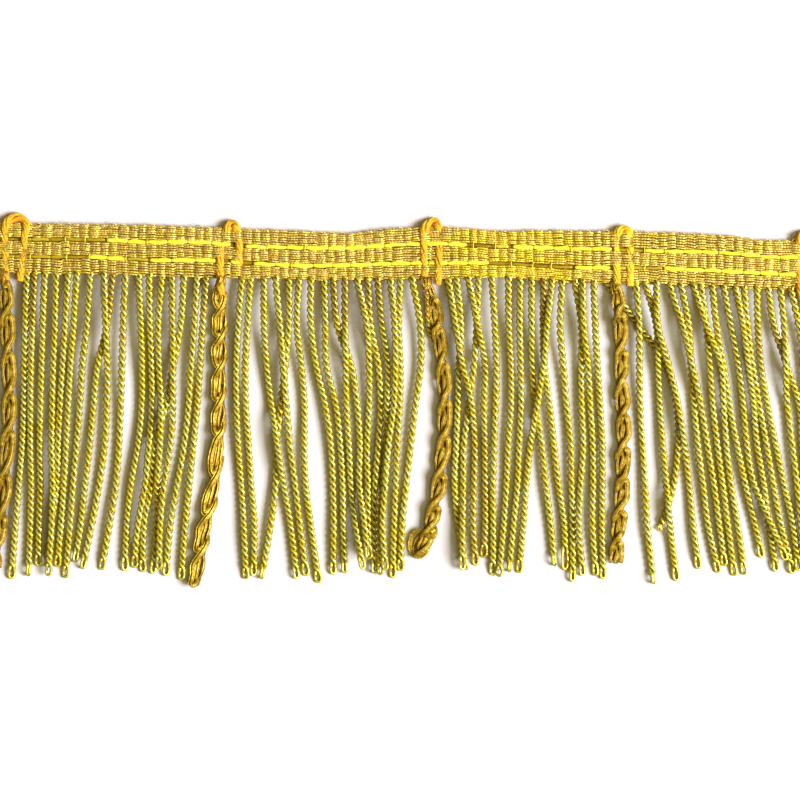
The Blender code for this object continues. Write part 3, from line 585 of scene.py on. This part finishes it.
class FringeColours(bpy.types.PropertyGroup):
    """Colours of the fringe's threads."""

    bullion: hue("Bullion", "Gimp of the strands", "#FFFA7C")
    braid: hue("Braid", "Warps of the heading", "#FAE688")
    tinsel: hue("Tinsel", "Foil strips", "#FFFC50")
    gimp: hue("Gimp", "Threads of the chains", "#F2CC4A")
    yarn: hue("Yarn", "Ties", "#F2B40E")


def rib_edges(rng, pitch):
    """Chart x of the dips between the heading's ribs, a little uneven as woven."""
    count = round((HEADING_END - HEADING_START) * STEP / pitch)
    edges = np.linspace(HEADING_START, HEADING_END, count + 1)
    edges[1:-1] += rng.uniform(-0.1, 0.1, count - 1) * (HEADING_END - HEADING_START) / count
    return edges


def under_tie(x, y):
    """1 where a tie lies over the warps and 0 elsewhere."""
    share = np.zeros(len(x))
    for tie in TIES:
        path = curve(tie, 4 * len(tie))
        for tie_x, tie_y, height in path[path[:, 2] > TIE_OVER]:
            near = held(1.7 - np.hypot(x - tie_x, y - tie_y) / 3.2)
            share = np.maximum(share, near * min(1.0, (height - TIE_OVER) / 0.15))
    return share


class FRINGE_OT_heading(bpy.types.Operator):
    """Weave the heading: its ground, its warps and the turns along its upper edge"""

    bl_idname = "fringe.heading"
    bl_label = "Heading"

    def execute(self, context):
        sizes, colours = context.scene.fringe_sizes, context.scene.fringe_colours
        rng = np.random.default_rng(11)
        # Metallised thread round a cotton core: many small facets that glitter unevenly
        lurex = thread_finish(
            "woven_gold_lurex",
            # Clear, shaded, a yellower tone, and painted shade for the warps' sides
            (tuple(colours.braid), linear("#D0A43E"), linear("#FAE03C"), linear("#A8860C")),
            (("Metallic", 0.5), ("Roughness", 0.38), ("Specular IOR Level", 0.2)),
            wraps=3.2, fibres=1.0, speckle=0.7, relief=0.1 * MM, patches=1500.0,
        )
        edges = rib_edges(rng, sizes.rib)
        for band, name in enumerate(("upper", "middle", "lower")):
            threads = Threads()
            skew = rng.normal(0.0, (0.4, 0.06, 0.07), (len(edges), 3))
            for warp in range(sizes.warps):
                share = (warp + 0.5) / sizes.warps
                self.add_warp(threads, rng, edges, skew, band, share, sizes.warp_radius)
            threads.build("warps_" + name, lurex, ("heading",))
        self.add_turns(rng, edges, lurex)
        self.add_ground()
        return {"FINISHED"}

    def add_warp(self, threads, rng, edges, skew, band, share, radius):
        """One warp of a band, in blocks between dips; skew is each block's shift, slant and rise."""
        above, below, drop, rise = BANDS[band]
        marks, swell = np.array(BLOCK).T
        edges = edges + 1.1 * np.sin(2.3 * band + 0.9 * np.arange(len(edges)))
        edges[1:-1] += rng.normal(0.0, 0.3, len(edges) - 2)
        run = np.diff(edges)[:, None]
        x = np.append((edges[:-1, None] + marks * run).ravel(), edges[-1])
        high = np.append(np.tile(swell, len(run)), 0.0)
        block = np.arange(len(x)) // len(marks)
        wander = rng.normal(0.0, 0.16, len(run) + 1)[block]
        slant = skew[block, 1] * (x - edges[block] - HALF_BLOCK)
        wander = wander + skew[block, 0] + slant
        lifted = rng.normal(0.0, 0.06, len(run) + 1)[block] * MM + skew[block, 2] * MM
        top, bottom = heading_line(above, x) + drop, heading_line(below, x) - rise
        y = top + (bottom - top) * share + wander * (high > 0.0)
        crest = smooth(CREST_SHARES, CRESTS[band], np.asarray(share, float)) * MM
        z = crest - 0.2 * MM * (1.0 - high) + lifted * high
        # Under a tie most warps are pressed down, and the others rise between its threads
        pressed = np.where(rng.random(len(run) + 1) < 0.45, -0.22, 0.28)[block] * MM
        z = z - radius - pressed * under_tie(x, y)
        yellow = held((x - YELLOW_START) / YELLOW_IN) * held((YELLOW_END - x) / YELLOW_OUT)
        tone = held(rng.normal(0.15, 0.2, len(run) + 1)[block] + 0.55 * yellow)
        threads.add(placed(x, y, z), radius, sides=6, flat=0.8, tone=tone)

    def add_turns(self, rng, edges, lurex):
        """Thin threads that turn back at the heading's upper edge, one over each rib."""
        threads = Threads()
        sweep = np.linspace(0.0, math.pi, 8)
        for left, right in zip(edges, edges[1:]):
            reach = rng.uniform(-0.4, 1.3) * (1.0 if rng.random() < 0.9 else 2.2)
            middle, half = 0.5 * (left + right), rng.uniform(0.3, 0.5) * (right - left)
            x = middle - half * np.cos(sweep)
            y = heading_line("top", x) + 1.2 - (reach + 1.0) * np.sin(sweep)
            z = (1.25 + 0.2 * np.sin(sweep)) * MM
            threads.add(placed(x, y, z), 0.13 * MM, sides=5, tone=rng.uniform(0.0, 0.5))
        threads.build("edge_turns", lurex, ("heading",))

    def add_ground(self):
        """The ground cloth that the warps lie on: a grid set along the heading, given a back."""
        bpy.ops.object.select_all(action="DESELECT")
        bpy.ops.mesh.primitive_grid_add(x_subdivisions=120, y_subdivisions=15, size=1.0)
        ground = bpy.context.object
        ground.name = ground.data.name = "ground_cloth"
        bpy.ops.object.mode_set(mode="EDIT")
        bpy.ops.mesh.select_all(action="SELECT")
        bpy.ops.mesh.extrude_region_move(TRANSFORM_OT_translate={"value": (0.0, 0.0, -1.0)})
        bpy.ops.mesh.select_all(action="SELECT")
        bpy.ops.mesh.normals_make_consistent(inside=False)
        bpy.ops.object.mode_set(mode="OBJECT")
        start, end = HEADING_START + 0.5, HEADING_END - 0.5
        corners = np.empty(len(ground.data.vertices) * 3)
        ground.data.vertices.foreach_get("co", corners)
        corners = corners.reshape(-1, 3)
        x = start + (corners[:, 0] + 0.5) * (end - start)
        share = 0.5 - corners[:, 1]
        top, bottom = heading_line("top", x) + 0.8, heading_line("bottom", x) - 0.6
        y = top + share * (bottom - top)
        face = smooth(GROUND_SHARES, GROUND_LEVELS, share) * MM
        back = corners[:, 2] < -0.5
        z = np.where(back, 0.02 * MM, face - 0.12 * MM)
        ground.data.vertices.foreach_set("co", placed(x, y, z).ravel())
        ground.data.update()
        # Cotton ground, olive brown, which shows only as the dark between the warps
        cotton = bpy.data.materials.new("cotton_ground")
        cotton.use_nodes = True
        tree = cotton.node_tree
        shader = tree.nodes["Principled BSDF"]
        shader.inputs["Roughness"].default_value = 0.85
        place = add_node(tree, "ShaderNodeTexCoord")
        # One rib of the ground to a millimetre
        ribbed = (("bands_direction", "X"), ("Scale", WAVE_UNIT / MM))
        rib = add_node(tree, "ShaderNodeTexWave", ribbed, (("Vector", place, "Object"),))
        dark, light = linear("#A8840E", 1.0), linear("#C8A21C", 1.0)
        both = (("data_type", "RGBA"), (COLOUR_A, dark), (COLOUR_B, light))
        weave = add_node(tree, "ShaderNodeMix", both, ((FACTOR, rib, "Fac"),))
        tree.links.new(weave.outputs[COLOUR_RESULT], shader.inputs["Base Color"])
        bump = add_node(tree, "ShaderNodeBump", (("Distance", 0.1 * MM),), (("Height", rib, "Fac"),))
        tree.links.new(bump.outputs["Normal"], shader.inputs["Normal"])
        ground.data.materials.append(cotton)
        bpy.ops.object.select_all(action="DESELECT")
        carried(ground, ("heading",))
        width = heading_line("bottom", MIDDLE[0]) - heading_line("top", MIDDLE[0])


class FRINGE_OT_tinsel(bpy.types.Operator):
    """Lay the bright foil floats along the heading's two troughs"""

    bl_idname = "fringe.tinsel"
    bl_label = "Tinsel"

    def execute(self, context):
        rng = np.random.default_rng(5)
        bright = tuple(context.scene.fringe_colours.tinsel)
        # Metallised polyester strip: flat and bright but crinkled, so it shines broadly
        foil = thread_finish(
            "lemon_foil",
            # Clear, shaded, dull floats and the bed, and painted shade for the floats' edges
            (bright, linear("#FFF03C"), linear("#947010"), linear("#C8B010")),
            (
                ("Roughness", 0.4),
                ("Specular IOR Level", 0.2),
                ("Coat Weight", 0.4),
                ("Coat Roughness", 0.25),
            ),
            wraps=1.2, fibres=0.0, speckle=0.6, relief=0.03 * MM, patches=500.0,
        )
        for line in ("upper", "lower"):
            threads = Threads()
            x = np.arange(HEADING_START + 1.0, HEADING_END, 4.0)
            bed = placed(x, heading_line(line, x), 1.3 * MM)
            threads.add(bed, 0.42 * MM, sides=6, flat=0.5, tone=1.0)
            for name, start, end, dull in TINSEL_RUNS:
                if name != line:
                    continue
                count = max(1, round((end - start) / FLOAT_LENGTH))
                stops = np.linspace(start, end, count + 1)
                stops[1:-1] += rng.uniform(-2.0, 2.0, count - 1)
                for left, right in zip(stops, stops[1:]):
                    self.add_float(threads, rng, line, left - 0.7, right + 0.5, dull)
            threads.build("tinsel_floats_" + line, foil, ("tinsel_" + line,))
        return {"FINISHED"}

    def add_float(self, threads, rng, line, left, right, dull):
        """One float of foil, at times with a thin binder over its left end."""
        share = np.linspace(0.0, 1.0, 13)
        x = left + (right - left) * share
        swell = np.sin(math.pi * share) ** 0.45
        y = heading_line(line, x) + rng.uniform(-0.3, 0.3) + 0.25 * np.sin(9.0 * share + left)
        z = (1.75 + 0.2 * swell - 0.35 * dull) * MM
        wide = (0.27 - 0.08 * dull + (0.24 - 0.12 * dull) * swell * rng.uniform(0.6, 1.1)) * MM
        tone = min(1.0, dull * rng.uniform(0.85, 1.25) + rng.uniform(0.0, 0.08))
        threads.add(placed(x, y, z), wide, sides=8, flat=0.2, tone=tone, edge=0.25)
        if rng.random() < 0.15 + 0.4 * dull:
            down = np.linspace(-3.2, 3.2, 7)
            lean = rng.uniform(-0.15, 0.15) * down
            over = placed(left + lean, y[0] + down, (2.25 - 0.03 * down**2) * MM)
            threads.add(over, 0.12 * MM, sides=5, tone=rng.uniform(0.0, 0.3))


def strand_paths():
    """The chart y that all strands share, and the chart x of every strand at each."""
    grid = np.arange(268.0, 590.0, 2.0)
    paths = []
    for row in STRANDS:
        strand = dict(zip(STRAND_COLUMNS, row))
        root_y = hem(strand["root"])
        levels = [y for y in STRAND_LEVELS if y < strand["tip_y"] - 12.0]
        ys = [root_y] + levels + [strand["tip_y"]]
        xs = [strand["root"]] + [strand["x%d" % y] for y in levels] + [strand["tip_x"]]
        x = smooth(ys, xs, grid)
        x[(grid < root_y - 4.0) | (grid > strand["tip_y"] + 2.0)] = np.nan
        paths.append(x)
    return grid, np.array(paths)


def strand_heights(grid, paths, radius):
    """Height of each strand's middle: on the floor, or nestled over those laid before it."""
    turns = column(STRAND_COLUMNS, STRANDS, "turn")
    roots = column(STRAND_COLUMNS, STRANDS, "root")
    heights = np.full(paths.shape, np.nan)
    # Below the heading a strand arches off the floor, and lies down within 150 steps
    down = held((grid - 276.0) / 150.0)
    arched = (0.5 + 0.5 * np.cos(math.pi * down)) * (0.9 + 1.3 * held(down * 6.0))
    near_end = held((560.0 - grid) / 30.0)
    touch = 1.9 * radius
    done = []
    for i in np.argsort(turns, kind="stable"):
        rise = 0.0 if roots[i] == FRAYED else 0.62 * MM
        loose = 0.22 * MM * (1.0 + np.sin(grid / 23.0 + 2.1 * i)) * near_end
        floor = radius + rise * arched + loose
        need = floor.copy()
        for j in done:
            apart = np.abs(paths[i] - paths[j]) * STEP
            over = np.sqrt(np.maximum(touch**2 - apart**2, 0.0))
            over = np.where(apart < touch, over, -1.0)
            need = np.fmax(need, np.where(over > 0.0, heights[j] + over, 0.0))
        ramp = 0.3 * STEP * np.abs(grid[:, None] - grid[None])
        z = np.nanmax(np.where(np.isnan(need), 0.0, need)[None] - ramp, axis=1)
        eased = np.convolve(np.pad(z, 4, mode="edge"), np.ones(9) / 9.0, mode="valid")
        heights[i] = np.maximum(np.maximum(eased, 0.6 * need + 0.4 * eased), floor)
        done.append(i)
    return heights


def browner(root, y):
    """How brown the strand is at each y."""
    tone = np.zeros(len(y))
    for strand, start, end, amount in BROWN_STRETCHES:
        if strand == root:
            soft = held((y - start) / 12.0 + 0.5) * held((end - y) / 16.0 + 0.5)
            tone = np.maximum(tone, amount * soft)
    return tone


class FRINGE_OT_strands(bpy.types.Operator):
    """Twist every strand from its two plies, and open its end loop"""

    bl_idname = "fringe.strands"
    bl_label = "Strands"

    def execute(self, context):
        sizes = context.scene.fringe_sizes
        rng = np.random.default_rng(3)
        clear = tuple(context.scene.fringe_colours.bullion)
        # Metallised wrap round each ply: a bright, slightly glossy yellow gold with fine wrap lines
        gimp = thread_finish(
            "bullion_gimp",
            # Clear, shaded, browner stretches, and painted shade for the plies' sides and grooves
            (clear, linear("#FFEA40"), linear("#C8A038"), linear("#483600")),
            (
                ("Metallic", 0.55),
                ("Roughness", 0.28),
                ("Specular IOR Level", 0.15),
                ("Specular Tint", linear("#FFE468", 1.0)),
                ("Coat Weight", 0.42),
                ("Coat Roughness", 0.2),
            ),
            wraps=2.6, fibres=1.0, speckle=0.1, relief=0.02 * MM, patches=260.0,
        )
        grid, paths = strand_paths()
        heights = strand_heights(grid, paths, sizes.ply_radius + sizes.ply_offset)
        groups = ((0, 19), (19, 35), (35, 50), (50, len(STRANDS)))
        for number, (first, last) in enumerate(groups, start=1):
            threads = Threads()
            for i in range(first, last):
                self.add_strand(threads, rng, sizes, STRANDS[i], grid, paths[i], heights[i])
            threads.build("strands_%d" % number, gimp, ("fringe_skirt",))
        return {"FINISHED"}

    def add_strand(self, threads, rng, sizes, row, grid, xs, zs):
        """One strand: two plies wound round its path, joined by the loop at its end."""
        strand = dict(zip(STRAND_COLUMNS, row))
        root, ply = strand["root"], sizes.ply_radius
        longer = 2.0 if root == LONG_LOOPED else rng.uniform(0.85, 1.1)
        wider = 1.25 if root == LONG_LOOPED else rng.uniform(0.88, 1.1)
        loop = 0.0 if root == FRAYED else (max(LOOP_DOWN) * longer * MM + ply)
        root_y = hem(root)
        shown = ~np.isnan(xs)
        y = np.linspace(root_y - 3.5, strand["tip_y"] - loop / STEP, 160)
        tucked = 0.55 * MM * held((root_y + 1.5 - y) / 4.5)
        line = placed(np.interp(y, grid[shown], xs[shown]), y, np.interp(y, grid, zs) - tucked)
        pitch = sizes.twist * rng.uniform(0.92, 1.14)
        line = resampled(line, round(along(line)[-1] / pitch * RINGS_A_TURN))
        ahead = ahead_of(line)
        right = -beside(ahead)
        lies_flat = rng.random() < 0.75
        roll = math.radians(rng.uniform(-30.0, 30.0) if lies_flat else rng.uniform(45.0, 75.0))
        run = along(line)
        left = run[-1] - run
        turn = math.pi / 2.0 + roll - 2.0 * math.pi * left / pitch
        uneven = 0.35 * np.sin(run / (9.0 * MM) + rng.uniform(0.0, 6.0))
        turn = turn + uneven * held(left / (6.0 * MM))
        swing = np.sin(turn)[:, None] * right + 0.68 * np.cos(turn)[:, None] * UP
        plies = [line + sizes.ply_offset * swing, line - sizes.ply_offset * swing]
        inward = (-unit(swing), unit(swing))
        brown = browner(root, MIDDLE[1] - line[:, 1] / STEP)
        brown = np.maximum(brown, rng.uniform(0.0, 0.1))
        if root == FRAYED:
            for path, facing in zip(plies, inward):
                threads.add(path, ply, 9, tone=brown, inward=facing, **GIMP_SHADE)
            self.add_fray(threads, rng, line[-1], ahead[-1])
            return
        spread = right[-1] * math.cos(roll) - UP * math.sin(roll)
        knots = np.arange(9.0)
        bend = np.linspace(0.0, 8.0, 21)[1:-1]
        across = smooth(knots, LOOP_ACROSS, bend) * wider * MM
        down = smooth(knots, LOOP_DOWN, bend) * longer * MM
        sink = line[-1, 2] - ply - abs(math.sin(roll)) * 0.6 * MM
        end = line[-1] + down[:, None] * ahead[-1] + across[:, None] * spread
        end[:, 2] -= max(min(sink, 0.6 * MM), 0.0) * held(1.6 * down / down.max())
        end[:, 2] = np.maximum(end[:, 2], ply)
        path = np.concatenate((plies[0], end, plies[1][::-1]))
        tone = np.concatenate((brown, np.full(len(end), brown[-1]), brown[::-1]))
        # The loop is stretched a little thinner than the plies
        radius = np.full(len(path), ply)
        radius[len(line) + 2 : len(line) + len(end) - 2] *= 0.8
        facing = np.concatenate((inward[0], np.zeros((len(end), 3)), inward[1][::-1]))
        threads.add(path, radius, 9, tone=tone, inward=facing, **GIMP_SHADE)

    def add_fray(self, threads, rng, end, ahead):
        """Loose fibres of the one strand that has come undone."""
        for _ in range(9):
            away = unit(ahead + np.append(rng.normal(0.0, 0.45, 2), 0.0))
            run = np.linspace(-1.0, 1.6, 6)[:, None] * MM
            path = end + run * away + np.append(rng.normal(0.0, 0.2, 2), 0.0) * MM
            path[:, 2] = np.maximum(path[:, 2] - 0.3 * MM, 0.15 * MM)
            threads.add(path, 0.1 * MM, sides=5, tone=0.6)


def chain_middle(row, y):
    """Chart x of a chain's middle at each y, and its height off the floor."""
    chain = dict(zip(CHAIN_COLUMNS, row))
    root_y = hem(chain["root"])
    ys = (root_y + 4.0,) + CHAIN_LEVELS + (chain["end_y"],)
    xs = [chain["root"]] + [chain["x%d" % level] for level in CHAIN_LEVELS] + [chain["end_x"]]
    return smooth(ys, xs, y), 1.45 * MM * held((chain["floor_y"] - y) / 28.0)


class FRINGE_OT_chains(bpy.types.Operator):
    """Loop the gimp threads of the five chains through one another"""

    bl_idname = "fringe.chains"
    bl_label = "Chains"

    def execute(self, context):
        sizes = context.scene.fringe_sizes
        clear = tuple(context.scene.fringe_colours.gimp)
        # Satin rayon over a metal-tinted core: long soft gleams along each thread
        satin = thread_finish(
            "satin_gimp",
            # Clear, shaded, painted shade for low threads and the core, and painted shade for the
            # threads' sides
            (clear, linear("#B4901E"), linear("#8C640E"), linear("#3A2600")),
            (
                ("Metallic", 0.5),
                ("Roughness", 0.34),
                ("Specular IOR Level", 0.15),
                ("Coat Weight", 0.25),
                ("Coat Roughness", 0.25),
            ),
            wraps=0.0, fibres=9.0, speckle=0.5, relief=0.2 * MM, patches=1500.0,
        )
        for number, (row, (turned, tops)) in enumerate(zip(CHAINS, CHAIN_LINKS), start=1):
            rng = np.random.default_rng(20 + number)
            threads = Threads()
            spans = np.diff(tops).tolist()
            self.add_core(threads, rng, sizes, row, tops[0], 3.0 if number == THIRD else 0.0)
            for k, top in enumerate(tops):
                span = spans[max(k - 1, 0)] if turned else spans[min(k, len(spans) - 1)]
                self.add_link(threads, rng, sizes, row, top, span, turned)
            if number == THIRD:
                self.add_rings(threads, sizes)
                self.add_side(threads, sizes)
            name, node = "chain_threads_%d" % number, "chain_%d" % number
            threads.build(name, satin, (node,))
        return {"FINISHED"}

    def add_link(self, threads, rng, sizes, row, top, span, turned):
        """The threads of one link, cut off where the chain starts and ends."""
        scale = span / LINK_LENGTH
        sign = -1.0 if turned else 1.0
        end_y = row[CHAIN_COLUMNS.index("end_y")] - 1.5
        root_y = hem(row[0]) - 1.0
        for knots, beside, tone in LINK_THREADS:
            knots = np.array(knots) + rng.normal(0.0, (0.45, 0.7, 0.06), (len(knots), 3))
            path = curve(knots, 5 * (len(knots) - 1) + 1)
            across, down, high = path.T
            ahead = np.gradient(path[:, :2], axis=0)
            normal = unit(np.stack((ahead[:, 1], -ahead[:, 0]), axis=-1))
            for offset, size in beside:
                y = top + sign * (down + normal[:, 1] * offset) * scale
                middle, lift = chain_middle(row, y)
                keep = (y < end_y) & (y > root_y)
                if keep.sum() < 4:
                    continue
                taper = held(0.55 + (y - root_y) / 50.0)
                x = middle + 0.93 * sign * (across + normal[:, 0] * offset) * taper
                z = lift + np.maximum(high * MM * 1.05, sizes.gimp_radius)
                points = placed(x, y, z)[keep]
                # Painted shade: a thread lying below 1.2 mm gets darker, added to its listed shade, then
                # a random tone
                shade = tone + 0.25 * held(1.2 - high)
                shade = held(shade + 0.12 * rng.normal())[keep]
                radius = sizes.gimp_radius * size
                threads.add(points, radius, sides=8, tone=shade, edge=1.55, fall=1.7)

    def add_core(self, threads, rng, sizes, row, top, lean):
        """The middle of a chain, painted darkest as the shade inside its links, and the threads of its
        neck above the first link.
        """
        end_y = row[CHAIN_COLUMNS.index("end_y")] - 6.0
        root_y = hem(row[0]) - 2.0
        y = np.arange(root_y, end_y, 4.0)
        x, lift = chain_middle(row, y)
        wide = (0.5 + 0.5 * held((y - root_y) / 30.0)) * MM
        # A dark core at full tone: painted shade that fills the chain between its threads
        threads.add(placed(x, y, lift + 0.5 * MM), wide, sides=8, flat=0.42, tone=1.0)
        y = np.linspace(root_y, max(top, root_y) + 15.0, 12)
        x, lift = chain_middle(row, y)
        for across in (-3.2, -1.6, 0.0, 1.6, 3.2):
            sway = 0.9 * np.sin(y / 4.0 + rng.uniform(0.0, 6.0))
            sway = sway + across * (1.0 + 0.01 * (y - root_y))
            sway = sway - lean * held((root_y + 20.0 - y) / 20.0)
            path = placed(x + sway, y, lift + (1.35 - 0.12 * abs(across)) * MM)
            threads.add(path, sizes.gimp_radius, sides=7, tone=rng.uniform(0.0, 0.4))

    def add_side(self, threads, sizes):
        """The pale twisted pair that runs down beside the third chain's first link."""
        spots = curve(SIDE_PAIR, 60)
        path = placed(*spots.T[:2], spots[:, 2] * MM)
        turn = 2.0 * math.pi * along(path) / (2.4 * MM)
        side = beside(ahead_of(path))
        for sign in (-1.0, 1.0):
            swing = sign * (np.cos(turn)[:, None] * side + 0.7 * np.sin(turn)[:, None] * UP)
            threads.add(path + 0.3 * MM * swing, sizes.gimp_radius, sides=7, edge=0.9)

    def add_rings(self, threads, sizes):
        """The last loop of the third chain, turned back on itself."""
        # The inner ring is painted a little darker, as shade inside the loop
        for knots, tone in ((END_RING, 0.0), (INNER_RING, 0.25)):
            path = curve(knots, 5 * (len(knots) - 1) + 1)
            ahead = ahead_of(path[:, :2])
            for offset in (-1.1, 1.1):
                x = path[:, 0] + ahead[:, 1] * offset
                y = path[:, 1] - ahead[:, 0] * offset
                z = np.maximum(path[:, 2] * MM, sizes.gimp_radius)
                threads.add(placed(x, y, z), sizes.gimp_radius, sides=8, tone=tone)


class FRINGE_OT_ties(bpy.types.Operator):
    """Draw the soft yarn of the five ties over the heading's upper edge"""

    bl_idname = "fringe.ties"
    bl_label = "Ties"

    def execute(self, context):
        sizes = context.scene.fringe_sizes
        clear = tuple(context.scene.fringe_colours.yarn)
        # Loosely spun orange yarn: matt, with a bloom of stray hairs round it
        yarn = thread_finish(
            "soft_orange_yarn",
            # Clear, shaded, a yellower tone, and painted shade for the yarn's sides
            (clear, linear("#E8A40A"), linear("#FFD62A"), linear("#985C00")),
            (("Roughness", 0.75), ("Sheen Weight", 0.12), ("Sheen Roughness", 0.5)),
            wraps=2.0, fibres=5.0, speckle=0.75, relief=0.12 * MM, patches=900.0,
        )
        for number, tie in enumerate(TIES, start=1):
            rng = np.random.default_rng(40 + number)
            threads = Threads()
            spots = curve(tie, 6 * len(tie))
            path = resampled(placed(*spots.T[:2], spots[:, 2] * MM), 90)
            # The fourth tie is yellower than the others
            yellow = 0.6 if number == 4 else 0.0
            rim = heading_line("top", spots[:, 0].mean())
            self.add_yarn(threads, rng, sizes.yarn_radius, path, rim, number, yellow)
            self.add_arch(threads, sizes.yarn_radius, path, yellow)
            self.add_hairs(threads, rng, sizes.yarn_radius, path, yellow)
            threads.build("tie_yarn_%d" % number, yarn, ("tie_%d" % number,))
        return {"FINISHED"}

    def add_yarn(self, threads, rng, radius, path, rim, number, yellow):
        """The spun yarn: six plies round a middle one, thicker over the heading's rim."""
        run = along(path)
        side = beside(ahead_of(path))
        swell = 1.0 + 0.12 * np.sin(run / (0.9 * MM) + number) * np.sin(run / (2.3 * MM))
        chart_y = MIDDLE[1] - path[:, 1] / STEP
        swell = swell * (1.0 + 0.25 * held((rim + 6.0 - chart_y) / 6.0))
        for ply in range(7):
            turn = 2.0 * math.pi * (run / (9.0 * MM) + ply / 6.0) + 0.3 * rng.normal()
            out = np.cos(turn)[:, None] * side + 0.6 * np.sin(turn)[:, None] * UP
            reach = (swell * (0.0 if ply == 6 else 0.6 * radius))[:, None]
            tone = yellow + 0.3 * rng.random()
            threads.add(path + reach * out, 0.48 * radius, sides=7, tone=tone)

    def add_arch(self, threads, radius, path, yellow):
        """The yarn that fills the tie's arch above the heading's rim."""
        top = int(np.argmax(path[:, 1]))
        arch = path[max(top - 11, 0) : top + 12]
        foot = 0.5 * (arch[0] + arch[-1])
        for inner in (0.12, 0.42, 0.72):
            turn = foot + inner * (arch - foot)
            turn[:, 2] = arch[:, 2] - 0.25 * MM
            threads.add(turn, 0.75 * radius, sides=8, flat=0.6, tone=yellow, edge=0.9)

    def add_hairs(self, threads, rng, radius, path, yellow):
        """The stray hairs that stand off the yarn and curl."""
        ahead = ahead_of(path)
        side = beside(ahead)
        t = np.linspace(0.0, 1.0, 5)[:, None]
        for _ in range(160):
            at = rng.integers(2, len(path) - 2)
            away = side[at] * rng.normal() + UP * rng.normal() + ahead[at] * rng.normal(0.0, 1.5)
            away = unit(away)
            start = path[at] + away * radius * 0.6
            curl = unit(rng.normal(0.0, 1.0, 3))
            hair = start + away * t * 0.7 * MM + curl * t**2 * 0.5 * MM
            hair[:, 2] = np.maximum(hair[:, 2], 0.1 * MM)
            threads.add(hair, 0.05 * MM, sides=3, tone=yellow)


class FRINGE_OT_studio(bpy.types.Operator):
    """Set the pale floor, the soft lights and the camera straight above"""

    bl_idname = "fringe.studio"
    bl_label = "Studio"

    def execute(self, context):
        scene = context.scene
        bpy.ops.object.select_all(action="DESELECT")
        bpy.ops.mesh.primitive_plane_add(size=3.0, location=(0.0, 0.0, 0.0))
        floor = bpy.context.object
        floor.name = floor.data.name = "floor"
        # Matt white paper: no gleam, and white under the lights below
        paper = bpy.data.materials.new("white_paper")
        paper.use_nodes = True
        shader = paper.node_tree.nodes["Principled BSDF"]
        shader.inputs["Base Color"].default_value = linear("#ECEAF6", 1.0)
        shader.inputs["Roughness"].default_value = 0.9
        floor.data.materials.append(paper)
        world = bpy.data.worlds.new("studio")
        scene.world = world
        world.use_nodes = True
        sky = world.node_tree.nodes["Background"]
        sky.inputs["Color"].default_value = (1.0, 0.78, 0.22, 1.0)
        sky.inputs["Strength"].default_value = 0.1
        for name, place, size, power, colour in SOFTBOXES:
            lamp = bpy.data.lights.new(name, "AREA")
            lamp.size = size
            lamp.energy = power
            lamp.color = colour
            light = bpy.data.objects.new(name, lamp)
            light.location = place
            light.rotation_euler = Vector(place).to_track_quat("Z", "Y").to_euler()
            scene.collection.objects.link(light)
        camera = bpy.data.cameras.new("camera")
        camera.lens, camera.sensor_width = LENS, SENSOR
        above = bpy.data.objects.new("camera", camera)
        distance = PICTURE * STEP * LENS / SENSOR + SCALE_HEIGHT
        above.location = (0.0, (MIDDLE[1] - PICTURE / 2.0) * STEP, distance)
        scene.collection.objects.link(above)
        scene.camera = above
        scene.view_settings.view_transform = "Standard"
        return {"FINISHED"}


class FRINGE_PT_panel(bpy.types.Panel):
    """Lists the fringe's sizes, colours and operators"""

    bl_idname = "FRINGE_PT_panel"
    bl_label = "Bullion fringe"
    bl_space_type = "VIEW_3D"
    bl_region_type = "UI"
    bl_category = "Fringe"

    def draw(self, context):
        layout = self.layout
        for group in (context.scene.fringe_sizes, context.scene.fringe_colours):
            for name in group.__annotations__:
                layout.prop(group, name)
        for operator in OPERATORS:
            layout.operator(operator.bl_idname)


OPERATORS = (
    FRINGE_OT_studio,
    FRINGE_OT_heading,
    FRINGE_OT_tinsel,
    FRINGE_OT_strands,
    FRINGE_OT_chains,
    FRINGE_OT_ties,
)
CLASSES = (FringeSizes, FringeColours, *OPERATORS, FRINGE_PT_panel)


def register():
    for each in CLASSES:
        bpy.utils.register_class(each)
    bpy.types.Scene.fringe_sizes = PointerProperty(type=FringeSizes)
    bpy.types.Scene.fringe_colours = PointerProperty(type=FringeColours)


def unregister():
    del bpy.types.Scene.fringe_colours
    del bpy.types.Scene.fringe_sizes
    for each in reversed(CLASSES):
        bpy.utils.unregister_class(each)


def main():
    register()
    bpy.ops.fringe.studio()
    bpy.ops.fringe.heading()
    bpy.ops.fringe.tinsel()
    bpy.ops.fringe.strands()
    bpy.ops.fringe.chains()
    bpy.ops.fringe.ties()


if __name__ == "__main__":
    main()
